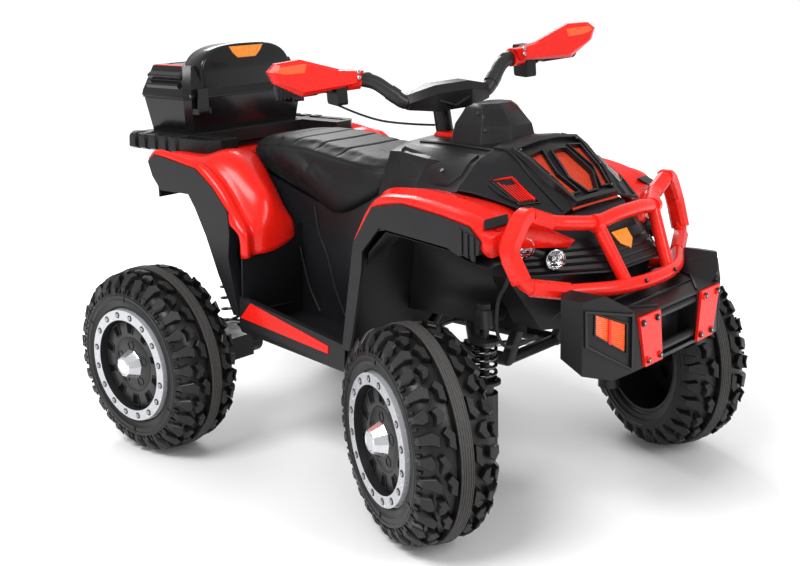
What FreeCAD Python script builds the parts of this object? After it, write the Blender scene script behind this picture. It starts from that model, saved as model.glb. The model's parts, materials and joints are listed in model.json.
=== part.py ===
import FreeCAD, Part
import math
import os

V = FreeCAD.Vector

# Frame of the object: X forward, Y to the rider's left, Z up, floor at Z = 0, all in millimetres.
# Layout
HALF_LENGTH = 600.0
WHEELBASE = 726.0
REAR_AXLE_X = -384.0
FRONT_AXLE_X = REAR_AXLE_X + WHEELBASE
TRACK = 650.0
FIT_GAP = 0.3
RUNNING_CLEARANCE = 0.08
BITE = 2.0

# Wheels
TYRE_R = 185.0
TYRE_WIDTH = 140.0
TYRE_WALL = 9.0
RIB_WIDTH = 22.0
RIM_R = 113.0
RIM_WALL = 7.0
RIM_WIDTH = 122.0
DISH_FACE = 40.0
DISH_THICKNESS = 8.0
POCKETS = 10
POCKET_INNER_R = 52.0
POCKET_OUTER_R = 84.0
RING_FACE = 72.6
RING_R = 111.3
RING_BAND = 20.0
HUB_R = 24.0
HUB_INNER = 52.0
CAP_R = 27.0
CAP_TIP_R = 19.0
CAP_LENGTH = 36.0
AXLE_R = 8.0
STUB_END = 44.0

# Steering and front suspension
STEER_AT_REST = -23.4
KING_OFFSET = 130.0
KING_Y = TRACK / 2 - KING_OFFSET
COLUMN_RAKE = 10.0
COLUMN_R = 16.0
COLUMN_AT = V(99.0, 0.0, 650.0)
COLUMN_TOP_Z = 694.0
COLUMN_HOLE_R = 24.0
ARM_BACK = 88.0
ARM_OUT = 22.0
TIE_Z = 204.0
TIE_R = 6.0
EYE_R = 11.0
EYE_HEIGHT = 12.0
PIN_R = 5.0
OPEN_PIN_PLAY = 2.3
PILLAR_R = 8.0
PILLAR_LOW_Z = 140.0
PILLAR_TOP_Z = 378.0
NUT_R = 13.0
NUT_HEIGHT = 10.0
CUP_R = 27.0
CUP_Z = 321.0
CUP_THICKNESS = 5.0
SLIDER_R = 15.0
SLIDER_LOW_Z = 134.0
SLIDER_TOP_Z = 254.0
COLLAR_R = 21.0
COLLAR_HEIGHT = 16.0
SEAT_DISC = 5.0
SLEEVE_R = 22.0
SLEEVE_LOW_Z = 152.0
SLEEVE_TOP_Z = 232.0
SHOULDER_R = 14.0
SPRING_R = 19.0
SPRING_WIRE_R = 3.0
FRONT_SPRING_TURNS = 5

# Rear suspension and drive
PIVOT_X = -170.0
PIVOT_Z = 250.0
PIVOT_PIN_R = 8.0
PIVOT_TUBE_R = 15.0
ARM_TUBE_R = 11.0
AXLE_TUBE_R = 15.0
AXLE_TUBE_HALF = 215.0
REAR_SPRING_Y = 128.0
REAR_SPRING_TOP_Z = 340.0
REAR_SPRING_TURNS = 6
MOTOR_INNER_Y = 155.0
MOTOR_WIDTH = 62.0
MOTOR_CAN_R = 26.0
MOTOR_CAN_LENGTH = 35.0

# Frame tubes
RAIL_R = 12.0
CROSS_R = 10.5
BEAM_R = 13.5
RAIL_Y = 75.0
RAIL_Z = 250.0
RAIL_FRONT_X = 300.0
RAIL_KICK_X = -215.0
BEAM_Z = 362.0
POST_X = -470.0
POST_FOOT_X = -345.0
HEAD_TUBE_R = 24.0

# Body panels
WALL = 4.0
TUNNEL_Y = 104.0
FLOOR_REAR_Z = 262.0
FLOOR_FRONT_Z = 238.0
TYRE_TO_SILL = 5.0
TYRE_TO_TOE = 73.0
TOE_OUTER_X = FRONT_AXLE_X - TYRE_R - TYRE_TO_TOE
FLOOR_FRONT_X = TOE_OUTER_X + 42
TOE_RISE_X = 48.0
TOE_TOP_Z = 490.0
HEEL_TOP_Z = 446.0
HEEL_RAKE = 12.0
SILL_Y = 268.0
SILL_DEPTH = 16.0
SILL_REAR_X = REAR_AXLE_X + TYRE_R + TYRE_TO_SILL
SILL_REAR_LOW_Z = 256.0
SILL_REAR_TOP_Z = 326.0
SILL_FRONT_X = TOE_OUTER_X
SILL_FRONT_LOW_Z = 230.0
SILL_FRONT_TOP_Z = 281.0
FLARE_Y = 270.0
FLARE_LIP = 6.0
FLARE_DEPTH = 25.0
FLARE_SKIN = 5.0
LEG_DEPTH = 15.0

# Arch lines of the flares, from the rear foot to the front tip, as X and Z
FRONT_ARCH = [
    (TOE_OUTER_X - 2, 276), (TOE_OUTER_X + 29, 447), (TOE_OUTER_X + 35, 475), (164, 541),
    (226, 553), (311, 543), (370, 532), (391, 510), (389, 489),
]
FRONT_ARCH_INNER = [
    (TOE_OUTER_X + 16, 276), (TOE_OUTER_X + 26, 311), (TOE_OUTER_X + 52, 430), (TOE_OUTER_X + 55, 462),
    (180, 507), (326, 493), (349, 483),
]
REAR_ARCH = [
    (-441, 567), (-421, 582), (-295, 564), (-250, 533), (SILL_REAR_X - 14, 489), (SILL_REAR_X - 12, 445),
    (SILL_REAR_X - 19, 400), (SILL_REAR_X + 1, 289),
]
REAR_ARCH_INNER = [
    (-430, 538), (-407, 512), (-321, 512), (-303, 487), (-275, 435), (SILL_REAR_X - 51, 363),
    (SILL_REAR_X - 28, 319), (SILL_REAR_X - 14, 289),
]

# Cross sections: X, then half width and Z of each corner from the middle outward
CONSOLE = [
    (60, [(0, 620), (58, 617), (104, 606), (140, 532)]),
    (95, [(0, 629), (70, 626), (118, 610), (150, 532)]),
    (180, [(0, 631), (80, 627), (140, 606), (184, 552)]),
    (290, [(0, 634), (88, 626), (146, 606), (198, 568)]),
]
HOOD = [
    (290, [(0, 640), (90, 632), (146, 612), (200, 572)]),
    (315, [(0, 639), (92, 629), (138, 606), (190, 568)]),
    (345, [(0, 622), (88, 613), (126, 594), (178, 560)]),
    (390, [(0, 585), (78, 579), (110, 562), (160, 545)]),
    (430, [(0, 541), (69, 540), (99, 532), (140, 522)]),
]
# Front wing: X, then Y and Z from the bonnet outward
FRONT_WING = [
    (118, [(150, 520), (235, 500), (266, 480), (267, 466)]),
    (164, [(150, 548), (235, 562), (266, 546), (267, 532)]),
    (226, [(150, 556), (232, 572), (266, 558), (267, 546)]),
    (311, [(150, 552), (228, 566), (266, 548), (267, 536)]),
    (370, [(140, 540), (222, 552), (266, 537), (267, 524)]),
    (400, [(135, 520), (215, 532), (255, 512), (260, 486)]),
    (421, [(122, 508), (160, 522), (192, 530), (222, 494)]),
    (455, [(92, 486), (100, 490), (110, 488), (116, 482)]),
]
# Rear wing: X, then Y and Z from the seat outward
REAR_WING = [
    (-441, [(120, 560), (200, 566), (267, 570)]),
    (-421, [(120, 565), (200, 576), (267, 587)]),
    (-320, [(120, 570), (204, 578), (268, 574)]),
    (-295, [(122, 583), (200, 594), (268, 569)]),
    (-250, [(124, 545), (200, 582), (268, 538)]),
    (-208, [(126, 470), (200, 548), (268, 494)]),
    (-165, [(135, 440), (200, 502), (262, 440)]),
    (-150, [(140, 438), (200, 470), (250, 410)]),
]
# Front fascia: Z, then X and half width of back, corner and front
BUMPER_WING_HALF = 213.0
FASCIA_HALF = BUMPER_WING_HALF - 3
FASCIA = [
    (345, [(370, 150), (425, 150), (462, 95)]),
    (430, [(370, FASCIA_HALF - 5), (405, FASCIA_HALF - 5), (490, 80)]),
    (442, [(370, FASCIA_HALF), (405, FASCIA_HALF - 2), (518, 72)]),
    (492, [(370, 190), (410, 182), (474, 60)]),
    (526, [(370, 118), (400, 112), (428, 92)]),
]
# Seat cushion: X, top, half width, bottom
SEAT = [
    (-338, 572, 72, 556),
    (-322, 597, 100, 545),
    (-250, 606, 112, 524),
    (-160, 604, 116, 498),
    (-75, 594, 122, 476),
    (0, 585, 121, 505),
    (42, 580, 108, 530),
    (57, 572, 88, 546),
]
SEAT_CHANNELS = 4
CHANNEL_PITCH = 62.0
CHANNEL_FIRST_X = -255.0
CHANNEL_DEPTH = 3.0
CHANNEL_WIDTH = 4.0

# Pod: Z, rear X, front X, half width
POD = [(616, 152, 284, 80), (655, 160, 276, 68), (684, 176, 252, 50), (692, 190, 240, 38)]

# Bumper, plates and bull bar
BUMPER_REAR_X = 472.0
BUMPER_FRONT_X = 592.0
PLATE_THICKNESS = 5.0
BOLT_HEIGHT = HALF_LENGTH - BUMPER_FRONT_X - PLATE_THICKNESS
BOLT_R = 4.5
BUMPER_REAR_HALF = 150.0
BUMPER_WING_X = 505.0
BUMPER_KNEE_X = 545.0
BUMPER_FRONT_HALF = 133.0
BUMPER_DECK_Z = 396.0
BUMPER_EAR_Z = 432.0
BUMPER_LOW_Z = 280.0
BUMPER_HIGH_Z = 460.0
BUMPER_PROFILE = [
    (BUMPER_REAR_X, 346), (BUMPER_REAR_X, BUMPER_DECK_Z + 4), (540, BUMPER_DECK_Z + 2),
    (BUMPER_FRONT_X, BUMPER_DECK_Z - 3), (BUMPER_FRONT_X, 304), (572, 293),
]
BUMPER_WALL = 5.0
MOUTH_HALF = 60.0
MOUTH_LOW_Z = 310.0
MOUTH_HIGH_Z = 388.0
MOUTH_DEPTH = 34.0
ROLLER_R = 8.0
LENS_OUTLINE = [(557, 404), (582, 384), (582, 340), (557, 372)]
LENS_THICKNESS = 3.0
PLATE_OUTLINE = [(132, 391), (68, 391), (57, 306), (110, 306)]
BAR_R = 12.0
POST_R = 11.0
BULL_BEND = 22.0
BULL_BAR = [
    (494, 0, 529), (494, 36, 529), (488, 87, 521), (449, 158, 529), (440, 221, 553), (436, 258, 500),
    (458, 245, 444), (487, 180, 426), (532, 98, 422), (548, 36, 422), (548, 0, 422),
]
BULL_POST_TOP = (488, 87, 521)
BULL_POST_FOOT = (533, 66, 422)
BULL_STAY_Y = 120.0
LAMP_R = 17.0
LAMP_LENGTH = 24.0
LAMPS = [(414, 190, 491), (444, 146, 468)]
LAMP_TILT = 32.0

# Rear rack and trunk
RACK_Z = 580.0
RACK_HEIGHT = 27.0
RACK_FRONT_X = -316.0
RACK_REAR_X = -586.0
RACK_HALF = 208.0
RACK_CORNER = 34.0
RACK_NOTCH_X = -424.0
RACK_NOTCH_HALF = 140.0
RACK_SLOT_Y = 181.0
RACK_SLOT_WIDTH = 16.0
RACK_SLOT_LENGTH = 110.0
TRUNK_FRONT_X = -437.0
TRUNK_REAR_X = -589.0
TRUNK_HALF = 165.0
TRUNK_DRAFT = 10.0
TRUNK_RIM_Z = 676.0
LID_GAP = 1.0
LID_BRIM = 2.0
LID_TOP_Z = 742.0
DOME_TOP_Z = 782.0
DOME_HALF = 124.0
KNUCKLE_R = 6.0
HINGE_PIN_R = 3.0
HINGE_HALF = 60.0
HINGE_X = -HALF_LENGTH + KNUCKLE_R
HINGE_Z = TRUNK_RIM_Z + 4.0
LATCH_Y = 132.0
LATCH_WIDTH = 26.0
LATCH_Z = 652.0
LATCH_X = TRUNK_FRONT_X + 9.0

# Battery
BATTERY = (150.0, 118.0, 95.0)
BATTERY_X = 10.0

# Handlebar, straight ahead
BAR_TUBE_R = 11.0
HANDLEBAR = [(118, 0, 698), (118, 80, 698), (110, 104, 716), (90, 140, 747), (64, 306, 744)]
GRIP_R = 15.5
GRIP_FROM = 208.0
GRIP_TO = 304.0
HOUSING_FROM = 184.0
HOUSING_TO = 204.0
CLAMP_FROM = 156.0
CLAMP_TO = 180.0
CLAMP_R = 17.0
GUARD_OUTLINE = [(154, 764), (198, 771), (270, 797), (316, 795), (331, 783), (322, 762), (274, 734), (164, 742)]
GUARD_X = 104.0
GUARD_THICKNESS = 6.0
PAD_HALF = 82.0
STEM_HALF = 22.0
LEVER_PIN_R = 3.0
LEVER_BARREL_R = 7.0
LEVER_LENGTH = 50.0
LEVER_BACK = 28.0
LEVER_Z = 734.0
LEVER_HEIGHT = 8.0

# Cords
WIRE_R = 2.0
LEAD_R = 3.0
BAR_WIRE = [(70, -194, 704.5), (80, -140, 672), (92, -70, 654), (99, -18.2, 646)]
FRONT_LEAD = [
    (435.3, -243.75, 470), (412, -228, 434), (380, -210, 405), (374, -206, 335), (392, -188, 312), (424, -160, 338),
]


def box(x0, x1, y0, y1, z0, z1):
    """Block between two corners."""
    return Part.makeBox(x1 - x0, y1 - y0, z1 - z0, V(x0, y0, z0))


def rod(start, end, radius):
    """Round bar between two points."""
    start = V(*start)
    run = V(*end) - start
    return Part.makeCylinder(radius, run.Length, start, run)


def bent_bar(points, radius):
    """Round bar along a run of points, with round knees."""
    bar = rod(points[0], points[1], radius)
    for start, end in zip(points[1:], points[2:]):
        bar = bar.fuse([Part.makeSphere(radius, V(*start)), rod(start, end, radius)])
    return bar.removeSplitter()


def face_of(points):
    """Flat face inside a closed run of points."""
    return Part.Face(Part.makePolygon(points + [points[0]]))


def side_prism(outline, y0, y1):
    """Outline in X and Z carried along Y."""
    return face_of([V(x, y0, z) for x, z in outline]).extrude(V(0, y1 - y0, 0))


def plan_prism(outline, z0, z1):
    """Outline in X and Y carried along Z."""
    return face_of([V(x, y, z0) for x, y in outline]).extrude(V(0, 0, z1 - z0))


def front_prism(outline, x0, x1):
    """Outline in Y and Z carried along X."""
    return face_of([V(x0, y, z) for y, z in outline]).extrude(V(x1 - x0, 0, 0))


def loft(rings):
    """Straight sided solid through closed runs of points."""
    return Part.makeLoft([Part.makePolygon(ring + [ring[0]]) for ring in rings], True, True)


def mirrored(shape):
    """The same piece on the other side of the vehicle."""
    return shape.mirror(V(0, 0, 0), V(0, 1, 0))


def trimmed(shape, *neighbours):
    """The main solid that is left of a piece where its neighbours are cut out of it."""
    for neighbour in neighbours:
        shape = shape.cut(neighbour)
    return max(shape.Solids, key=lambda solid: solid.Volume)


def sheet(points, thickness):
    """Closed outline of a sheet laid on the right-hand side of a run of points."""
    inner = []
    for index, point in enumerate(points):
        runs = []
        if index > 0:
            runs.append((point[0] - points[index - 1][0], point[1] - points[index - 1][1]))
        if index < len(points) - 1:
            runs.append((points[index + 1][0] - point[0], points[index + 1][1] - point[1]))
        normals = [(run[1] / math.hypot(*run), -run[0] / math.hypot(*run)) for run in runs]
        across = (normals[0][0] + normals[-1][0], normals[0][1] + normals[-1][1])
        share = 2.0 * thickness / (across[0] ** 2 + across[1] ** 2)
        inner.append((point[0] + across[0] * share, point[1] + across[1] * share))
    return list(points) + inner[::-1]


def mirrored_run(half):
    """Run of points from the right edge over the middle to the left edge."""
    return [(-y, z) for y, z in half[:0:-1]] + list(half)


def panel(stations, closed_half):
    """Sheet panel through cross sections along X, over both sides or one."""
    rings = []
    for x, half in stations:
        run = mirrored_run(half) if closed_half else [(-y, z) for y, z in half[::-1]]
        rings.append([V(x, y, z) for y, z in sheet(run, WALL)])
    return loft(rings)


def arc_edge(start, apex, end):
    """Arc from start to end, touching the two lines to its apex."""
    middle = (start + end) * 0.5
    rise = apex - middle
    half_chord = (end - start).Length / 2
    lift = half_chord * math.tan(math.atan2(rise.Length, half_chord) / 2)
    crest = middle + rise * (lift / rise.Length)
    return Part.Arc(start, crest, end).toShape()


def biarc_edges(start, start_way, end, end_way):
    """Two arcs that join two points and keep the way at each."""
    gap = end - start
    ways = start_way + end_way
    bend = 2.0 * (1.0 - start_way.dot(end_way))
    reach = (math.sqrt(gap.dot(ways) ** 2 + bend * gap.dot(gap)) - gap.dot(ways)) / bend
    first = start + start_way * reach
    second = end - end_way * reach
    joint = (first + second) * 0.5
    return [arc_edge(start, first, joint), arc_edge(joint, second, end)]


def tube_along(edges, start, way, radius):
    """Round tube along joined edges."""
    section = Part.Wire(Part.makeCircle(radius, start, way))
    return Part.Wire(edges).makePipeShell([section], True, False)


def coil(x, y, low_z, high_z, turns, name):
    """Coil spring of one unbroken wire between two heights."""
    low = low_z + SPRING_WIRE_R
    pitch = (high_z - low_z - 2 * SPRING_WIRE_R) / turns

    def at(quarter):
        angle = quarter * math.pi / 2
        height = low + pitch * quarter / 4
        point = V(x + SPRING_R * math.cos(angle), y + SPRING_R * math.sin(angle), height)
        way = V(-SPRING_R * math.sin(angle), SPRING_R * math.cos(angle), pitch / (2 * math.pi))
        return point, way.normalize()

    edges = []
    for quarter in range(4 * turns):
        start, start_way = at(quarter)
        end, end_way = at(quarter + 1)
        edges.extend(biarc_edges(start, start_way, end, end_way))
    gap = pitch * math.cos(math.atan2(pitch, 2 * math.pi * SPRING_R)) - 2 * SPRING_WIRE_R
    print(name, "least gap between turns, mm:", round(gap, 2))
    return tube_along(edges, *at(0), SPRING_WIRE_R)


def rounded_run(points, longest_reach):
    """Straight runs and the arcs that touch them, with the radii of the arcs."""
    edges = []
    radii = []
    last = points[0]
    for before, corner, after in zip(points, points[1:], points[2:]):
        reach = min(longest_reach, 0.45 * min((corner - before).Length, (after - corner).Length))
        start = corner + (before - corner).normalize() * reach
        end = corner + (after - corner).normalize() * reach
        turn = (corner - before).getAngle(after - corner)
        radii.append(round(reach / math.tan(turn / 2), 1))
        edges.append(Part.LineSegment(last, start).toShape())
        edges.append(arc_edge(start, corner, end))
        last = end
    edges.append(Part.LineSegment(last, points[-1]).toShape())
    return edges, radii


def cord(points, radius, name):
    """Cord of straight runs and arcs that touch them."""
    points = [V(*point) for point in points]
    edges, radii = rounded_run(points, 1000.0)
    solid = tube_along(edges, points[0], points[1] - points[0], radius)
    length = Part.Wire(edges).Length
    print(name, "length", round(length, 1), "radii", radii, "volume share",
          round(solid.Volume / (math.pi * radius ** 2 * length), 4))
    return solid


def revolved(profile):
    """Solid turned about the Y axis from Y and radius points."""
    return face_of([V(0, y, r) for y, r in profile]).revolve(V(0, 0, 0), V(0, 1, 0), 360)


def disc(y0, y1, outer, inner=0.0):
    """Round plate or ring on the Y axis."""
    plate = Part.makeCylinder(outer, y1 - y0, V(0, y0, 0), V(0, 1, 0))
    if inner > 0.0:
        plate = plate.cut(Part.makeCylinder(inner, y1 - y0, V(0, y0, 0), V(0, 1, 0)))
    return plate


def collar(x, y, z0, z1, outer, inner):
    """Upright ring."""
    return Part.makeCylinder(outer, z1 - z0, V(x, y, z0)).cut(Part.makeCylinder(inner, z1 - z0, V(x, y, z0)))


COLUMN_WAY = V(-math.sin(math.radians(COLUMN_RAKE)), 0, math.cos(math.radians(COLUMN_RAKE)))


def on_column(z):
    """Point of the steering axis at a height."""
    return COLUMN_AT + COLUMN_WAY * ((z - COLUMN_AT.z) / COLUMN_WAY.z)


def steered(shape):
    """Handlebar piece turned to where the photo holds it."""
    turned = shape.copy()
    turned.rotate(COLUMN_AT, COLUMN_WAY, STEER_AT_REST)
    return turned


def knuckle_turned(shape, side):
    """Front wheel piece turned about its kingpin to match the handlebar."""
    turned = shape.copy()
    turned.rotate(V(FRONT_AXLE_X, side * KING_Y, 0), V(0, 0, 1), STEER_AT_REST)
    return turned


def placed_wheel(shape, x, side):
    """Wheel piece set on its axle, outer face outward."""
    wheel = shape.copy() if side > 0 else mirrored(shape)
    wheel.translate(V(x, side * TRACK / 2, TYRE_R))
    return wheel


# Wheels, turned about the Y axis with the outer face towards +Y
def make_tyre():
    half = TYRE_WIDTH / 2
    rib = RIB_WIDTH / 2
    edge = [(half - 6, RIM_R), (half, RIM_R + 27), (half - 2, TYRE_R - 27), (half - 12, TYRE_R - 11),
            (half - 30, TYRE_R - 4), (rib + 1, TYRE_R - 3), (rib, TYRE_R)]
    inside = [(half - 6 - TYRE_WALL, RIM_R), (half - TYRE_WALL, RIM_R + 27),
              (half - 12 - TYRE_WALL, TYRE_R - 11 - TYRE_WALL)]
    profile = edge + [(-y, r) for y, r in edge[::-1]] + [(-y, r) for y, r in inside] + inside[::-1]
    return revolved(profile)


def make_rim():
    half = RIM_WIDTH / 2
    rim = disc(-half, half, RIM_R, RIM_R - RIM_WALL)
    rim = rim.fuse(disc(half, RING_FACE, RING_R, RING_R - RING_BAND))
    rim = rim.fuse(disc(half - RIM_WALL, half, RIM_R, RING_R - RING_BAND))
    rim = rim.fuse(disc(DISH_FACE - DISH_THICKNESS, DISH_FACE, RIM_R))
    rim = rim.fuse(disc(-HUB_INNER, DISH_FACE, HUB_R))
    cap = Part.makeCone(CAP_R, CAP_TIP_R, CAP_LENGTH, V(0, DISH_FACE, 0), V(0, 1, 0))
    rim = rim.fuse(cap)
    step = 360.0 / POCKETS
    for index in range(POCKETS):
        low, high = math.radians((index + 0.18) * step), math.radians((index + 0.82) * step)
        corners = [(POCKET_INNER_R, low), (POCKET_OUTER_R, low), (POCKET_OUTER_R, high), (POCKET_INNER_R, high)]
        outline = [(r * math.cos(angle), r * math.sin(angle)) for r, angle in corners]
        rim = rim.cut(side_prism(outline, DISH_FACE - DISH_THICKNESS - 1, DISH_FACE + 1))
    bore = disc(-HUB_INNER, STUB_END + 1, AXLE_R + RUNNING_CLEARANCE)
    return rim.cut(bore).removeSplitter()


# Front corner, built for the left side straight ahead
def make_slider():
    slider = collar(FRONT_AXLE_X, KING_Y, SLIDER_LOW_Z, SLIDER_TOP_Z, SLIDER_R, PILLAR_R + RUNNING_CLEARANCE)
    foot = collar(FRONT_AXLE_X, KING_Y, SLIDER_LOW_Z, SLIDER_LOW_Z + COLLAR_HEIGHT, COLLAR_R, SLIDER_R)
    seat = collar(FRONT_AXLE_X, KING_Y, SLIDER_TOP_Z - SEAT_DISC, SLIDER_TOP_Z, CUP_R, SLIDER_R)
    return slider.fuse([foot, seat]).removeSplitter()


def arm_pin(side):
    """Place of the steering arm pin, straight ahead."""
    return V(FRONT_AXLE_X - ARM_BACK, side * (KING_Y + ARM_OUT), TIE_Z)


def make_knuckle():
    king = V(FRONT_AXLE_X, KING_Y, SLEEVE_LOW_Z)
    height = SLEEVE_TOP_Z - SLEEVE_LOW_Z
    sleeve = Part.makeCylinder(SLEEVE_R, height, king)
    centre = (FRONT_AXLE_X, KING_Y, TYRE_R)
    shoulder = rod(centre, (FRONT_AXLE_X, TRACK / 2 - HUB_INNER - 2 * FIT_GAP, TYRE_R), SHOULDER_R)
    stub = rod(centre, (FRONT_AXLE_X, TRACK / 2 + STUB_END, TYRE_R), AXLE_R)
    pin = arm_pin(1)
    low = TIE_Z - EYE_HEIGHT / 2 - 9.0
    high = TIE_Z - EYE_HEIGHT / 2 - FIT_GAP
    arm = plan_prism([(FRONT_AXLE_X, KING_Y - 11), (pin.x, pin.y - 9), (pin.x, pin.y + 9),
                      (FRONT_AXLE_X, KING_Y + 11)], low, high)
    eye = Part.makeCylinder(EYE_R, high - low, V(pin.x, pin.y, low))
    peg = Part.makeCylinder(PIN_R, TIE_Z + EYE_HEIGHT / 2 + 2 - low, V(pin.x, pin.y, low))
    knuckle = sleeve.fuse([shoulder, stub, arm, eye, peg])
    return knuckle.cut(Part.makeCylinder(SLIDER_R + FIT_GAP, height, king)).removeSplitter()


def pitman_pin(side):
    """Place of the pitman arm's pin, straight ahead."""
    foot = pitman_root()
    return V(foot.x - ARM_BACK, side * ARM_OUT, TIE_Z)


def pitman_root():
    """Point of the steering axis that the pitman arm leaves."""
    return on_column(TIE_Z + ARM_BACK * math.tan(math.radians(COLUMN_RAKE)))


def turned_point(point, centre, way):
    """Point carried by a turn of the rest steering angle."""
    turn = FreeCAD.Rotation(way, STEER_AT_REST)
    return turn.multVec(point - centre) + centre


def make_tie_rod(side):
    outer = turned_point(arm_pin(side), V(FRONT_AXLE_X, side * KING_Y, TIE_Z), V(0, 0, 1))
    inner = turned_point(pitman_pin(side), COLUMN_AT, COLUMN_WAY)
    inner = V(inner.x, inner.y, TIE_Z)
    low = TIE_Z - EYE_HEIGHT / 2
    bar = rod(outer, inner, TIE_R)
    ends = [Part.makeCylinder(EYE_R, EYE_HEIGHT, V(end.x, end.y, low)) for end in (outer, inner)]
    bar = bar.fuse(ends)
    bar = bar.cut(Part.makeCylinder(PIN_R + RUNNING_CLEARANCE, EYE_HEIGHT, V(outer.x, outer.y, low)))
    bar = bar.cut(Part.makeCylinder(PIN_R + OPEN_PIN_PLAY, EYE_HEIGHT, V(inner.x, inner.y, low)))
    return bar.removeSplitter()


def make_column():
    root = pitman_root()
    column = rod(root - COLUMN_WAY * 14, on_column(COLUMN_TOP_Z), COLUMN_R)
    arm_top = TIE_Z - EYE_HEIGHT / 2 - 4.0
    tip_x = pitman_pin(1).x
    arm = side_prism([(root.x + 6, root.z - 4), (root.x - 6, root.z + 8), (tip_x - 4, arm_top),
                      (tip_x + 14, arm_top - 12)], -8, 8)
    cross = box(tip_x - 9, tip_x + 9, -ARM_OUT - 9, ARM_OUT + 9, arm_top - 9, arm_top)
    pins = [Part.makeCylinder(PIN_R, EYE_HEIGHT + 8, V(tip_x, side * ARM_OUT, arm_top)) for side in (-1, 1)]
    return column.fuse([arm, cross] + pins)


# Handlebar group, straight ahead
def make_handlebar():
    right = [(x, -y, z) for x, y, z in HANDLEBAR]
    bar = bent_bar(right[:0:-1] + HANDLEBAR, BAR_TUBE_R)
    top = on_column(COLUMN_TOP_Z)
    stem = box(top.x - COLUMN_R, HANDLEBAR[0][0], -STEM_HALF, STEM_HALF, top.z - 12, top.z + 8)
    return bar.fuse([stem, make_column()]).removeSplitter()


def bar_axis_ring(y0, y1, outer, inner):
    """Ring on the outer run of the handlebar."""
    start, end = V(*HANDLEBAR[-2]), V(*HANDLEBAR[-1])
    way = (end - start) * (1.0 / (end.y - start.y))
    first, last = start + way * (y0 - start.y), start + way * (y1 - start.y)
    ring = rod(first, last, outer)
    return ring.cut(rod(first, last, inner)) if inner > 0 else ring


def make_grip():
    grip = bar_axis_ring(GRIP_FROM, GRIP_TO, GRIP_R, BAR_TUBE_R)
    return grip.fuse(bar_axis_ring(GRIP_FROM, GRIP_FROM + 5, GRIP_R + 3, BAR_TUBE_R)).removeSplitter()


def make_guard():
    clamp = bar_axis_ring(CLAMP_FROM, CLAMP_TO, CLAMP_R, BAR_TUBE_R)
    bar = V(*HANDLEBAR[-2])
    arm = box(bar.x - 6, GUARD_X + 1, CLAMP_FROM + 2, CLAMP_TO - 2, bar.z - 8, bar.z + 12)
    shield = front_prism(GUARD_OUTLINE, GUARD_X, GUARD_X + GUARD_THICKNESS)
    guard = clamp.fuse([arm, shield])
    return guard.cut(bar_axis_ring(CLAMP_FROM - 1, CLAMP_TO + 1, BAR_TUBE_R, 0)).removeSplitter()


def make_housing():
    bar = V(*HANDLEBAR[-1])
    case = box(bar.x - 16, bar.x + 34, HOUSING_FROM, HOUSING_TO, bar.z - 38, bar.z + 22)
    width = HOUSING_TO - HOUSING_FROM
    case = case.makeFillet(6.0, [edge for edge in case.Edges if abs(edge.Length - width) < 0.1])
    return case.cut(bar_axis_ring(HOUSING_FROM - 5, HOUSING_TO + 5, BAR_TUBE_R, 0))


def lever_pivot():
    """Place of the thumb lever's pivot on the left hand of the drawing."""
    return V(HANDLEBAR[-1][0] - LEVER_BACK, (HOUSING_FROM + HOUSING_TO) / 2, LEVER_Z)


def make_throttle_housing():
    pivot = lever_pivot()
    lug = LEVER_HEIGHT / 2 + FIT_GAP
    housing = make_housing()
    for low in (pivot.z - lug - 6, pivot.z + lug):
        housing = housing.fuse(box(pivot.x - 8, pivot.x + 14, pivot.y - 8, pivot.y + 8, low, low + 6))
    pin = Part.makeCylinder(LEVER_PIN_R, 2 * lug, V(pivot.x, pivot.y, pivot.z - lug))
    return housing.fuse(pin).removeSplitter()


def make_thumb_lever():
    pivot = lever_pivot()
    low = pivot.z - LEVER_HEIGHT / 2
    end = pivot.y + LEVER_LENGTH
    barrel = Part.makeCylinder(LEVER_BARREL_R, LEVER_HEIGHT, V(pivot.x, pivot.y, low))
    stem = box(pivot.x - 4, pivot.x + 2, pivot.y, end, low, low + LEVER_HEIGHT)
    pad = box(pivot.x - 4, pivot.x + 2, end - 24, end, low - 8, low + LEVER_HEIGHT + 6)
    bore = Part.makeCylinder(LEVER_PIN_R + RUNNING_CLEARANCE, LEVER_HEIGHT, V(pivot.x, pivot.y, low))
    return barrel.fuse([stem, pad]).cut(bore).removeSplitter()


def make_bar_pad(handlebar):
    centre = V(*HANDLEBAR[0])
    rings = []
    for y, rear, front, low, high in ((-PAD_HALF, -14, 17, -13, 14), (-34, -22, 36, -20, 27),
                                      (34, -22, 36, -20, 27), (PAD_HALF, -14, 17, -13, 14)):
        outline = [(rear, low + 8), (rear, high - 8), (rear + 8, high), (front - 10, high), (front, high - 14),
                   (front - 6, low)]
        rings.append([V(centre.x + x, y, centre.z + z) for x, z in outline])
    return trimmed(loft(rings), handlebar)


# Chassis
def rail_run(side):
    """Corners of a main rail, from the front beam to the rack."""
    y = side * RAIL_Y
    return [(FRONT_AXLE_X, y, BEAM_Z), (RAIL_FRONT_X, y, RAIL_Z), (RAIL_KICK_X, y, RAIL_Z),
            (POST_FOOT_X, y, BEAM_Z), (POST_X, y, RACK_Z - 60), (POST_X, y, RACK_Z)]


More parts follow.
